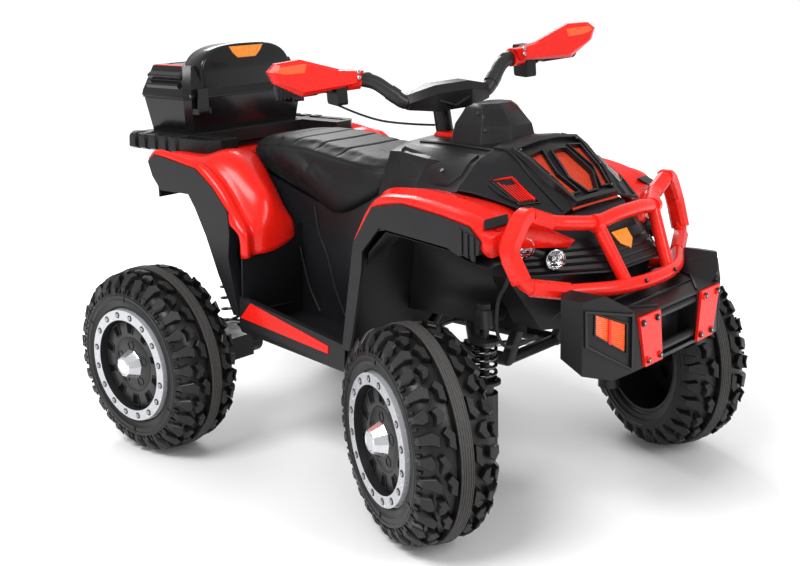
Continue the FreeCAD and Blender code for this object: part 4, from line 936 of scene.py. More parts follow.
@dataclass
class Wheel:
    """One wheel: tyre with tread blocks, dish, bolted ring and fluted cap."""

    body: str
    end: str
    centre: Vec
    turn: float
    facets: int = 112
    blocks: int = 15
    half_pitch: float = 37.7
    tread_radius: float = 180.0
    ticks: int = 6
    teeth: int = 72
    ring_bolts: int = 16
    bolt_circle: float = 101.5
    ring_face: float = 72.6
    flutes: int = 10
    dish_face: float = 60.0
    windows: int = 10
    cups: int = 5
    cup_radius: float = 9.0
    cup_reach: float = 39.0
    ring_inner: float = 88.0
    ring_depth: float = 58.0
    cap_outer: float = 28.4
    cap_depth: float = 39.0
    crown_line: tuple = ((12, 40, 58, 68, 70.5), (182.4, 181, 174, 158, 146))
    carcass_line: tuple = ((12, 26, 42, 54, 60, 64.5, 69), (170.5, 169.5, 167, 162, 156, 149.5, 141.5))
    half_profile: tuple = (
        (0.6, 183.4), (1.4, 184.6), (3.4, 184.6), (3.9, 183.4), (4.6, 183.4), (5.1, 184.6), (7.2, 184.6),
        (7.7, 183.4), (8.4, 183.4), (8.9, 184.6), (10.6, 184.2), (11.3, 182.0), (12.6, 170.5), (26, 169.5),
        (42, 167.5), (54, 162.5), (60, 156.5), (64.5, 150), (67.4, 145.8), (67.9, 144.8), (69.0, 144.2),
        (69.6, 140), (70.4, 139.4), (70.4, 137.6), (69.4, 137), (68.9, 131), (69.4, 130.2), (69.2, 128.8),
        (68.2, 128), (66.8, 120), (65.2, 115), (62, 112.6),
    )
    block_rows: tuple = ((-0.15, 0.0), (0.55, 0.6), (0.88, 1.0), (1.0, 2.4))
    cap_rows: tuple = (
        (54, 29.5), (62, 29.5), (64, 28.0), (80, 21.0), (83, 19.4), (84.5, 16.5), (83.4, 14.5), (83.4, 0.2),
    )
    window: tuple = ((-6.0, 62.0), (7.5, 62.0), (9.5, 84.0), (-11.5, 84.0))
    # Outline of the painted shade sheet inside each window.
    pit: tuple = ((-4.0, 64.5), (4.8, 64.5), (7.2, 82), (-8.8, 82))

    def matrix(self) -> Matrix:
        """Place of the wheel; its own Y axis points outboard."""
        return Matrix.Translation(Vector(self.centre)) @ Matrix.Rotation(math.radians(self.turn), 4, "Z")

    def crown(self, y: float) -> float:
        """Radius of the block tops at a distance from the middle."""
        return float(np.interp(abs(y), *self.crown_line))

    def carcass(self, y: float) -> float:
        """Radius of the tyre between its blocks."""
        return float(np.interp(abs(y), *self.carcass_line))

    @staticmethod
    def around(shape: Shape, count: int, finishes: Sequence[Finish]) -> Shape:
        """Copies of a shape spread evenly round the axle."""
        return COPIER.copies(shape, count, turn=(0, 360 / count, 0), finishes=finishes)

    def tyre(self) -> Shape:
        """Tyre body with its grooved centre rib and the ring lines of its walls."""
        half = list(self.half_profile)
        tags = [1 if r > 181 and y < 11 else 0 for y, r in half]
        loop = [(-y, r) for y, r in half[::-1]] + half
        return Shape.revolve(loop, self.facets, tags[::-1][1:] + [1] + tags)

    def block(self, outline: Sequence[Pair]) -> Shape:
        """One tread block.

        Args:
            outline: distance round the tyre and across it of each corner.

        Returns:
            The block, with tag 1 on its top.
        """
        corners = np.asarray(outline, float)
        middle = corners.mean(axis=0)
        rows = []
        for share, inset in self.block_rows:
            row = []
            for corner in corners:
                away = corner - middle
                s, y = middle + away * (1 - inset / np.linalg.norm(away))
                r = self.carcass(y) + (self.crown(y) - self.carcass(y)) * share
                a = s / self.tread_radius
                row.append((r * math.sin(a), y, r * math.cos(a)))
            rows.append(row)
        made = Shape.loft(rows, around=True, caps=True)
        made.tags[-1] = 1
        return made

    def tread(self) -> Shape:
        """All tread blocks, from one pitch of the pattern."""
        outlines = [
            [(-21, 15.5), (6, 14), (18, 25), (9, 34), (-2, 28), (-15, 27)],
            [(23, 32), (37, 24.5), (51, 35), (47, 45.5), (36, 41), (20, 42)],
            [(-13, 41), (5, 39), (15, 50), (9, 68.5), (-6, 68.5), (-9, 52)],
            [(29, 50.5), (42, 49), (53, 55), (46, 69.5), (33, 69.5), (26, 58)],
        ]
        one = Shape.empty()
        for outline in outlines:
            one += self.block(outline) + self.block([(-s - self.half_pitch, -y) for s, y in outline])
        return self.around(one, self.blocks, (RUBBER, TREAD))

    def wall_marks(self) -> Shape:
        """Short bars and teeth moulded on the outer wall."""
        upright = [(-1.2, -7), (1.2, -7), (1.2, 7), (-1.2, 7)]
        tick = Shape.prism(upright, (0, 68.6, 135), X_AXIS, Z_AXIS, -2.0)
        wedge = [(-2, -5), (2, -5), (2.6, 5), (-2.6, 5)]
        tooth = Shape.prism(wedge, (0, 66.2, 149.5), X_AXIS, (0, -0.42, 0.9), -2.6, 0.6)
        ticks = self.around(tick, self.ticks, (RUBBER, TREAD))
        return ticks + self.around(tooth, self.teeth, (RUBBER, TREAD))

    def rim(self) -> Shape:
        """Copy of the CAD rim with its ring marked for its own finish and its cap left out."""
        shape = node_shape(self.end.replace("wheel", "rim"))
        local = shape.placed(self.matrix().inverted())
        for i, face in enumerate(local.faces):
            spots = local.verts[list(face)]
            reach = np.hypot(spots[:, 0], spots[:, 2])
            if reach.min() > self.ring_inner and spots[:, 1].min() > self.ring_depth:
                shape.tags[i] = 1
        keep = [i for i, face in enumerate(local.faces) if not self.in_cap(local.verts[list(face)])]
        return Shape(shape.verts, [shape.faces[i] for i in keep], [shape.tags[i] for i in keep])

    def in_cap(self, spots: np.ndarray) -> bool:
        """Whether a face belongs to the CAD cap, which the fluted cap stands for."""
        reach = float(np.hypot(spots[:, 0], spots[:, 2]).max())
        return reach < self.cap_outer and float(spots[:, 1].min()) > self.cap_depth

    def cap(self) -> Shape:
        """Fluted bright cap."""
        turns = [math.tau * k / self.flutes for k in range(self.flutes)]
        rows = [[(r * math.cos(a), y, r * math.sin(a)) for a in turns] for y, r in self.cap_rows]
        return Shape.loft(rows, around=True, caps=True)

    def dish_details(self) -> Shape:
        """Bulged dish face with raised window frames, painted shade sheets in the windows and hex cups round
        the hub.
        """
        lift = self.dish_face
        bulge = [
            (44, 28), (lift + 1.5, 29), (lift + 1, 52), (lift - 1, 55), (lift, 58), (lift - 1, 86),
            (lift - 4, 90.5), (44, 90.5),
        ]
        edge = [(-1.6, -2), (1.6, -2), (1.2, 1.4), (-1.2, 1.4)]
        frame_bar = Shape.sweep([(x, lift, z) for x, z in self.window], edge, Y_AXIS, loop=True)
        turns = [k * math.pi / 3 for k in range(6)]
        reach, radius = self.cup_reach, self.cup_radius
        hexagon = [(radius * math.cos(a), lift, reach + radius * math.sin(a)) for a in turns]
        wall = [(-1.8, -2), (1.8, -2), (1.2, 2.6), (-1.2, 2.6)]
        cup = Shape.sweep(hexagon, wall, Y_AXIS, loop=True)
        # A near-black sheet inset in each window is painted shade of the opening.
        pit = Shape.prism(self.pit, (0, lift + 0.4, 0), X_AXIS, Z_AXIS, -0.8)
        frames = self.around(frame_bar, self.windows, (GREY, GREY)).tagged(1)
        window_shades = self.around(pit, self.windows, (WINDOW_SHADE, WINDOW_SHADE)).tagged(2)
        cups = self.around(cup, self.cups, (GREY, GREY)).tagged(1)
        return Shape.revolve(bulge, 72) + frames + window_shades + cups

    def bolts(self) -> Shape:
        """Bolts of the silver ring."""
        angles = [math.tau * (k + 0.5) / self.ring_bolts for k in range(self.ring_bolts)]
        reach = self.bolt_circle
        points = [(reach * math.cos(a), self.ring_face, reach * math.sin(a)) for a in angles]
        aims = [Y_AXIS] * len(points)
        cups = COPIER.heads(points, aims, 6.2, 1.0, (DISH, DISH)).tagged(1)
        # Steel heads with a dark socket: painted shade in the hex socket.
        return cups + COPIER.heads(points, aims, 3.6, 2.4, (STEEL, DISH))

    def build(self) -> None:
        """Make the wheel's pieces."""
        place = self.matrix()
        tyre = self.end.replace("wheel", "tyre")
        model(tyre + "_carcass", self.tyre().placed(place), [RUBBER, RIB], self.body, [tyre], angle=50)
        model(tyre + "_blocks", self.tread().placed(place), [RUBBER, TREAD], self.body, angle=25)
        model(tyre + "_wall_marks", self.wall_marks().placed(place), [RUBBER, TREAD], self.body, angle=25)
        rim = self.end.replace("wheel", "rim")
        made = model(rim + "_dish", self.rim(), [DISH, SILVER], self.body, [rim])
        round_edges(made, 0.8, 35)
        model(rim + "_windows", self.dish_details().placed(place), [DISH, GREY, WINDOW_SHADE], self.body)
        model(rim + "_ring_bolts", self.bolts().placed(place), [STEEL, DISH], self.body)
        model(rim + "_cap", self.cap().placed(place), [CHROME], self.body, angle=20)


@dataclass
class Seat:
    """Padded seat cushion with sewn channels and an edge seam."""

    stations: tuple = (
        (-338, 572, 72, 556), (-322, 597, 100, 545), (-250, 606, 112, 524), (-160, 604, 116, 498),
        (-75, 594, 122, 476), (0, 585, 121, 505), (42, 580, 108, 530), (57, 572, 88, 546),
    )
    channel_first: float = -255.0
    channel_pitch: float = 62.0
    channels: int = 4
    channel_bow: float = 14.0
    channel_width: float = 3.2
    channel_depth: float = 3.2
    channel_reach: float = 22.0
    seam_drop: float = 15.0
    seam_width: float = 2.2
    seam_depth: float = 2.0
    swell: float = 5.0
    pressure: float = 4.0
    settle: int = 20
    top_line: float = 0.55
    voxel: float = 0.0048

    def section(self, top: float, half: float, bottom: float) -> list[Pair]:
        """Right half of a cross section, from the middle of the top to the middle of the bottom."""
        deep = top - bottom
        return [
            (0.0, top), (0.5 * half, top - 0.5), (0.80 * half, top - 3.5),
            (0.93 * half, top - min(10.0, deep * 0.35)), (0.985 * half, top - min(24.0, deep * 0.55)),
            (half, top - deep * 0.66), (0.975 * half, bottom + deep * 0.12),
            (0.90 * half, bottom), (0.5 * half, bottom + 1.0), (0.0, bottom + 1.0),
        ]

    def shape(self) -> Shape:
        """Closed form of the cushion, a little slack."""
        rows = []
        for x, top, half, bottom in smooth_line(self.stations, 8):
            side = smooth_line(self.section(top - 1.5, half - 1.5, bottom + 1.0), 4)
            ring = np.vstack([side, side[-2:0:-1] * (-1, 1)])
            rows.append([(x, y, z) for y, z in ring])
        return Shape.loft(rows, around=True, caps=True)

    def inflate(self, made: bpy.types.Object) -> None:
        """Swell the cover with a cloth simulation and keep its result.

        Args:
            made: the cushion, already remeshed.
        """
        rest = np.array([v.co for v in made.data.vertices])
        cloth = made.modifiers.new("swell", "CLOTH")
        cloth.settings.use_pressure = True
        cloth.settings.uniform_pressure_force = self.pressure
        cloth.settings.effector_weights.gravity = 0.0
        scene = bpy.context.scene
        for number in range(1, self.settle + 1):
            scene.frame_set(number)
        found = made.evaluated_get(bpy.context.evaluated_depsgraph_get())
        moved = np.array([v.co for v in found.data.vertices]) - rest
        made.modifiers.remove(cloth)
        scene.frame_set(1)
        length = np.linalg.norm(moved, axis=1, keepdims=True) + 1e-9
        moved *= np.minimum(1.0, self.swell * MM / length)
        moved[:, 2] *= np.where(rest[:, 2] > self.top_line, 1.0, 0.4)
        made.data.vertices.foreach_set("co", (rest + moved).astype(np.float32).ravel())

    def sew(self, made: bpy.types.Object) -> None:
        """Sink the cross channels and the edge seam into the cover.

        Args:
            made: the cushion.
        """
        xs = [s[0] for s in self.stations]
        lines = [self.channel_first + k * self.channel_pitch for k in range(self.channels)]
        for vertex in made.data.vertices:
            x, y, z = vertex.co / MM
            top = np.interp(x, xs, [s[1] for s in self.stations])
            half = np.interp(x, xs, [s[2] for s in self.stations])
            bow = x + self.channel_bow * (y / half) ** 2
            flat = max(0.0, 1.0 - (abs(y) / (0.86 * half)) ** 8) if abs(y) < half else 0.0
            near = sum(math.exp(-((bow - line) / self.channel_width) ** 2) for line in lines)
            dip = near * (z > top - self.channel_reach) * flat
            edge = math.exp(-((z - (top - self.seam_drop)) / self.seam_width) ** 2) * (abs(y) > 0.7 * half)
            vertex.co.z -= self.channel_depth * dip * MM
            vertex.co.y -= math.copysign(self.seam_depth * edge * MM, y)

    def build(self) -> None:
        """Make the cushion."""
        mesh = mesh_of("seat_cushion_cover", self.shape(), [VINYL], 80)
        made = bpy.data.objects.new("seat_cushion_cover", mesh)
        bpy.context.scene.collection.objects.link(made)
        remesh = made.modifiers.new("even", "REMESH")
        remesh.mode, remesh.voxel_size = "VOXEL", self.voxel
        found = made.evaluated_get(bpy.context.evaluated_depsgraph_get())
        plain = bpy.data.meshes.new_from_object(found)
        made.modifiers.remove(remesh)
        made.data = plain
        self.inflate(made)
        detail = made.modifiers.new("detail", "SUBSURF")
        detail.levels = detail.render_levels = 1
        found = made.evaluated_get(bpy.context.evaluated_depsgraph_get())
        made.data = bpy.data.meshes.new_from_object(found)
        made.modifiers.remove(detail)
        self.sew(made)
        made.data.materials.clear()
        made.data.materials.append(VINYL.material())
        made.data.shade_smooth()
        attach(made, "chassis")
        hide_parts("seat_cushion")
        LOG.info("piece %s: %d faces", made.name, len(made.data.polygons))


@dataclass
class Spring:
    """One coil spring between two heights."""

    node: str
    joint: str
    at: Pair
    low: float
    high: float
    turns: int
    keep: float
    radius: float = 19.0
    wire: float = 3.0
    cuts: int = 28
    closed_ends: tuple = ((0, 0.07, 0.93, 1), (0.0, 0.02, 0.98, 1.0))

    def build(self) -> None:
        """Make the coil with flat closed ends."""
        steps = self.turns * self.cuts
        path = []
        for k in range(steps + 1):
            share = k / steps
            rise = float(np.interp(share, *self.closed_ends))
            a = share * self.turns * math.tau
            z = self.low + self.wire + (self.high - self.low - 2 * self.wire) * rise
            path.append((self.at[0] + self.radius * math.cos(a), self.at[1] + self.radius * math.sin(a), z))
        coil = Shape.sweep(path, Shape.circle(self.wire, 10))
        made = model(self.node + "_coil", coil, [COIL], "chassis", [self.node], angle=60)
        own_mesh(made)


@dataclass
class Cord:
    """One cord along its route."""

    name: str
    node: str
    body: str
    route: tuple
    radius: float
    length: float
    stiffness: str
    order: int = 3
    cuts: int = 16
    round_cuts: int = 4

    def build(self) -> None:
        curve = bpy.data.curves.new(self.name, "CURVE")
        curve.dimensions = "3D"
        line = curve.splines.new("NURBS")
        line.points.add(len(self.route) - 1)
        for point, spot in zip(line.points, self.route):
            point.co = (*(c * MM for c in spot), 1.0)
        line.order_u = self.order
        line.use_endpoint_u = True
        line.resolution_u = self.cuts
        curve.bevel_depth, curve.bevel_resolution = self.radius * MM, self.round_cuts
        curve.use_fill_caps = True
        curve.materials.append(GRIP.material())
        made = bpy.data.objects.new(self.name, curve)
        bpy.context.scene.collection.objects.link(made)
        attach(made, self.body)
        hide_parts(self.node)
        start = tuple(c * MM for c in self.route[0])
        2 * self.radius * MM
        LOG.info("piece %s", self.name)


@dataclass
class Studio:
    """Pale floor, soft light and the photograph's camera."""

    azimuth: float = 41.96
    elevation: float = 14.69
    roll: float = -1.5
    place: Vec = (1.5166, -1.7076, 0.9263)
    lens: float = 54.2
    sensor: float = 36.0
    clip: Pair = (0.05, 60.0)
    light_aim: Vec = (0, 0, 0.35)
    sky: float = 0.66
    floor_glow: float = 0.46
    # Glow of the floor below the object, and the squared radii over which this painted shadow fades out.
    painted_shadow_glow: float = 0.06
    painted_shadow_reach: Pair = (0.30, 2.2)
    floor_half: float = 14.0
    boxes: tuple = (
        ("key", (0.2, -2.2, 2.9), (1.7, 1.0), 84),
        ("front", (2.8, -0.2, 1.9), (0.9, 1.4), 36),
        ("rear_rim", (-2.2, 1.6, 2.2), (1.4, 1.0), 44),
    )

    def camera(self) -> None:
        """Set the camera at the photograph's angle."""
        a, e, r = (math.radians(v) for v in (self.azimuth, self.elevation, self.roll))
        back = Vector((math.sin(a) * math.cos(e), -math.cos(a) * math.cos(e), math.sin(e)))
        right = Vector((math.cos(a), math.sin(a), 0.0))
        up = back.cross(right)
        side = right * math.cos(r) + up * math.sin(r)
        top = up * math.cos(r) - right * math.sin(r)
        data = bpy.data.cameras.new("camera")
        data.lens, data.sensor_width, data.sensor_fit = self.lens, self.sensor, "HORIZONTAL"
        data.clip_start, data.clip_end = self.clip
        made = bpy.data.objects.new("camera", data)
        turn = Matrix((side, top, back)).transposed().to_4x4()
        made.matrix_world = Matrix.Translation(self.place) @ turn
        bpy.context.scene.collection.objects.link(made)
        bpy.context.scene.camera = made

    def floor(self) -> None:
        """Lay the floor, which glows evenly white at a distance and less below the object: a painted shadow
        that darkens the floor under it.
        """
        shader = Shader("studio_floor")
        grain = shader.noise(3.0, 2.0)
        shader.link("Base Color", shader.mix(grain, (0.90, 0.90, 0.905), (0.93, 0.93, 0.93)))
        shader.link("Roughness", 0.55 + grain * 0.1)
        x, y = shader.axis("X"), shader.axis("Y")
        # Less glow near the middle: a painted shadow under the object.
        outside_painted_shadow = (x * x + y * y).step(*self.painted_shadow_reach)
        shader.link("Emission Color", shader.mix(outside_painted_shadow, (self.painted_shadow_glow,) * 3, (1.0, 1.0, 1.0)))
        shader.body.inputs["Emission Strength"].default_value = self.floor_glow
        mesh = bpy.data.meshes.new("floor")
        half = self.floor_half
        corners = [(-half, -half, 0), (half, -half, 0), (half, half, 0), (-half, half, 0)]
        mesh.from_pydata(corners, [], [(0, 1, 2, 3)])
        mesh.materials.append(shader.material)
        made = bpy.data.objects.new("floor", mesh)
        bpy.context.scene.collection.objects.link(made)

    def backdrop(self) -> None:
        """Even light from all round, with a white ground behind the object."""
        world = bpy.data.worlds.new("studio")
        world.use_nodes = True
        nodes, links = world.node_tree.nodes, world.node_tree.links
        light, ground = nodes["Background"], nodes.new("ShaderNodeBackground")
        for node, strength in ((light, self.sky), (ground, 1.0)):
            node.inputs["Color"].default_value = (1.0, 1.0, 1.0, 1.0)
            node.inputs["Strength"].default_value = strength
        seen, blend = nodes.new("ShaderNodeLightPath"), nodes.new("ShaderNodeMixShader")
        links.new(seen.outputs["Is Camera Ray"], blend.inputs[0])
        links.new(light.outputs[0], blend.inputs[1])
        links.new(ground.outputs[0], blend.inputs[2])
        links.new(blend.outputs[0], nodes["World Output"].inputs[0])
        bpy.context.scene.world = world

    def softbox(self, name: str, place: Vec, size: Pair, power: float) -> None:
        """Hang a soft light that looks at the object.

        Args:
            name: name of the light.
            place: its place in metres.
            size: width and height in metres.
            power: watts.
        """
        data = bpy.data.lights.new(name, "AREA")
        data.shape, data.size, data.size_y, data.energy = "RECTANGLE", size[0], size[1], power
        made = bpy.data.objects.new(name, data)
        made.location = place
        look = Vector(self.light_aim) - Vector(place)
        made.rotation_euler = look.to_track_quat("-Z", "Y").to_euler()
        bpy.context.scene.collection.objects.link(made)

    def build(self) -> None:
        """Make the studio."""
        self.camera()
        self.floor()
        self.backdrop()
        bpy.context.scene.view_settings.view_transform = "Standard"
        for box in self.boxes:
            self.softbox(*box)


def rounded(points: Sequence[Vec], radius: float, steps: int = 5) -> list[Vec]:
    """Line with its corners rounded.

    Args:
        points: corners of the line.
        radius: distance from a corner at which the bend begins.
        steps: points in each bend.

    Returns:
        The points of the line.
    """
    corners = [np.array(p, float) for p in points]
    out = [corners[0]]
    for before, corner, after in zip(corners, corners[1:], corners[2:]):
        ends = []
        for other in (before, after):
            run = other - corner
            length = np.linalg.norm(run)
            ends.append(corner + run / length * min(radius, BEND_SHARE * length))
        for t in np.linspace(0.0, 1.0, steps):
            out.append((1 - t) ** 2 * ends[0] + 2 * t * (1 - t) * corner + t * t * ends[1])
    return [tuple(p) for p in out + [corners[-1]]]


def panel(
    name: str, shape: Shape, finish: Finish, body: str, nodes: Sequence[str] = (),
    wall: float = 3.0, angle: float = 40.0,
) -> bpy.types.Object:
    """Moulded panel: a skin that faces up, with a wall behind it.

    Args:
        name: name of the piece.
        shape: the skin.
        finish: its finish.
        body: CAD body that it rides.
        nodes: CAD nodes that it stands for.
        wall: thickness of the wall in millimetres.
        angle: edges steeper than this many degrees are sharp.

    Returns:
        The piece.
    """
    mesh = mesh_of(name, shape, [finish], angle, closed=False)
    if sum(p.normal.z * p.area for p in mesh.polygons) < 0:
        mesh.flip_normals()
    made = add_piece(name, mesh, body, nodes)
    thick = made.modifiers.new("wall", "SOLIDIFY")
    thick.thickness, thick.offset = wall * MM, -1.0
    return made


def bar(width: float, height: float) -> list[Pair]:
    """Section of a raised bar with a narrower top."""
    half, top, high = width / 2, width * BAR_TOP, height / 2
    return [(-half, -high), (half, -high), (top, high), (-top, high)]


@dataclass
class RearFender:
    """Red rear moulding: wings with a bead along the flare, the deck, the dark tail and the wheel liners."""

    rows: tuple = (
        ((-441, 120, 560), (-441, 200, 568), (-441, 267, 571), 0),
        ((-421, 120, 566), (-421, 200, 577), (-421, 267, 585), 0),
        ((-330, 120, 571), (-330, 204, 580), (-325, 267, 574), 0),
        ((-295, 122, 580), (-290, 200, 590), (-293, 267, 566), 12),
        ((-262, 124, 556), (-245, 198, 576), (-252, 267, 536), 28),
        ((-232, 126, 520), (-207, 196, 543), (-222, 267, 504), 48),
        ((-200, 130, 480), (-174, 196, 506), (-200, 267, 470), 66),
        ((-172, 135, 454), (-163, 197, 460), (-174, 267, 448), 80),
        ((-166, 138, 426), (-161, 200, 410), (-172, 266, 404), 86),
    )
    bead: tuple = ((0.38, 1.0), (0.60, -8.0), (0.74, -1.0), (0.90, 6.0), (1.0, 1.0), (1.0, -9.0))
    liner: tuple = (
        (-441, 545), (-430, 536), (-407, 511), (-321, 511), (-303, 486), (-275, 434), (-245, 366),
        (-222, 322), (-210, 292),
    )
    deck: tuple = ((-520, -190), (-300, -190), (-300, 190), (-520, 190))
    tail: tuple = ((-190, 474), (190, 474), (190, 562), (-190, 562))

    def across(self, row: tuple) -> list:
        """Points of one row from the seat to the flare.

        Args:
            row: inner edge, crest, outer edge, and lean of the surface in degrees.

        Returns:
            The points.
        """
        inner, crest, outer = (np.array(p, float) for p in row[:3])
        lean = math.radians(row[3])
        lift = np.array((math.sin(lean), 0.0, math.cos(lean)))
        points = [inner, inner * 0.55 + crest * 0.45 + lift * 5, crest + lift * 2]
        return points + [crest + (outer - crest) * t + lift * high for t, high in self.bead]

    def build(self) -> None:
        """Make the moulding and its liners."""
        rows = smooth_line([self.across(row) for row in self.rows], 5)
        skin = Shape.loft([smooth_line(row, 3) for row in rows]).both()
        panel("rear_fender_wings", skin, RED, "chassis", ["rear_fender"], 4.0, 50)
        shape = Shape.prism(self.deck, (0, 0, 562), X_AXIS, Y_AXIS, 4.0, 1.0)
        shape += Shape.prism(self.tail, (-520, 0, 0), Y_AXIS, Z_AXIS, 4.0, 1.0).tagged(1)
        model("rear_deck", shape, [RED, BLACK], "chassis")
        well = Shape.loft([[(x, 110, z), (x, 185, z), (x, 258, z)] for x, z in self.liner]).both()
        panel("rear_wheel_liners", well, BLACK, "chassis", wall=2.0)


@dataclass
class FrontFender:
    """Red front moulding with a bead along the flare and the dark liners of the wheel wells."""

    rows: tuple = (
        (118, (150, 520), (235, 500), (266, 480), (267, 466)),
        (164, (150, 548), (235, 562), (266, 546), (267, 532)),
        (226, (150, 556), (232, 572), (266, 558), (267, 546)),
        (311, (150, 552), (228, 566), (266, 548), (267, 536)),
        (370, (140, 540), (222, 552), (266, 537), (267, 524)),
        (400, (135, 520), (215, 532), (255, 512), (260, 486)),
        (421, (122, 508), (160, 522), (192, 530), (222, 494)),
        (455, (92, 486), (100, 490), (110, 488), (116, 482)),
    )
    roof: tuple = ((136, 440), (141, 462), (182, 503), (326, 489), (349, 479), (395, 470))
    duct: tuple = ((-30, -10), (20, -10), (32, 9), (-16, 9))
    duct_at: Vec = (391, -229, 534.5)
    duct_across: Vec = (0.22, 0.97, 0.06)
    duct_up: Vec = (-0.76, 0.14, 0.60)
    full_bead: float = 30.0

    def across(self, row: tuple) -> list[Vec]:
        """Points of one row from the console to the lip.

        Args:
            row: place along the bike, then four points across it.

        Returns:
            The points.
        """
        inner, crest, outer, lip = (np.array(p, float) for p in row[1:])
        step = min(1.0, (outer[0] - crest[0]) / self.full_bead)
        points = [
            inner,
            inner * 0.45 + crest * 0.55 + (0, 2),
            crest + (0, 1),
            crest * 0.66 + outer * 0.34 - (0, 3.5 * step),
            crest * 0.42 + outer * 0.58 + (0, 1.5 * step),
            crest * 0.12 + outer * 0.88 + (0, 3 * step),
            outer,
            lip,
        ]
        return [(row[0], y, z) for y, z in points]

    def build(self) -> None:
        """Make the moulding, its duct recess and its liners."""
        skin = Shape.loft(smooth_line([self.across(row) for row in self.rows], 5)).both()
        panel("front_fender_wings", skin, RED, "chassis", ["front_fender"], 4.0, 28)
        duct = Shape.prism(self.duct, self.duct_at, self.duct_across, self.duct_up, 3.5, 1.5)
        model("duct_recesses", duct.both(), [BLACK], "chassis", bevel=0.8)
        wells = []
        for x, z in self.roof:
            wells.append([(x, 150, 335), (x, 146, 410), (x, 150, z - 14), (x, 172, z), (x, 256, z - 4)])
        panel("front_wheel_liners", Shape.loft(wells).both(), BLACK, "chassis", wall=2.0, angle=60)


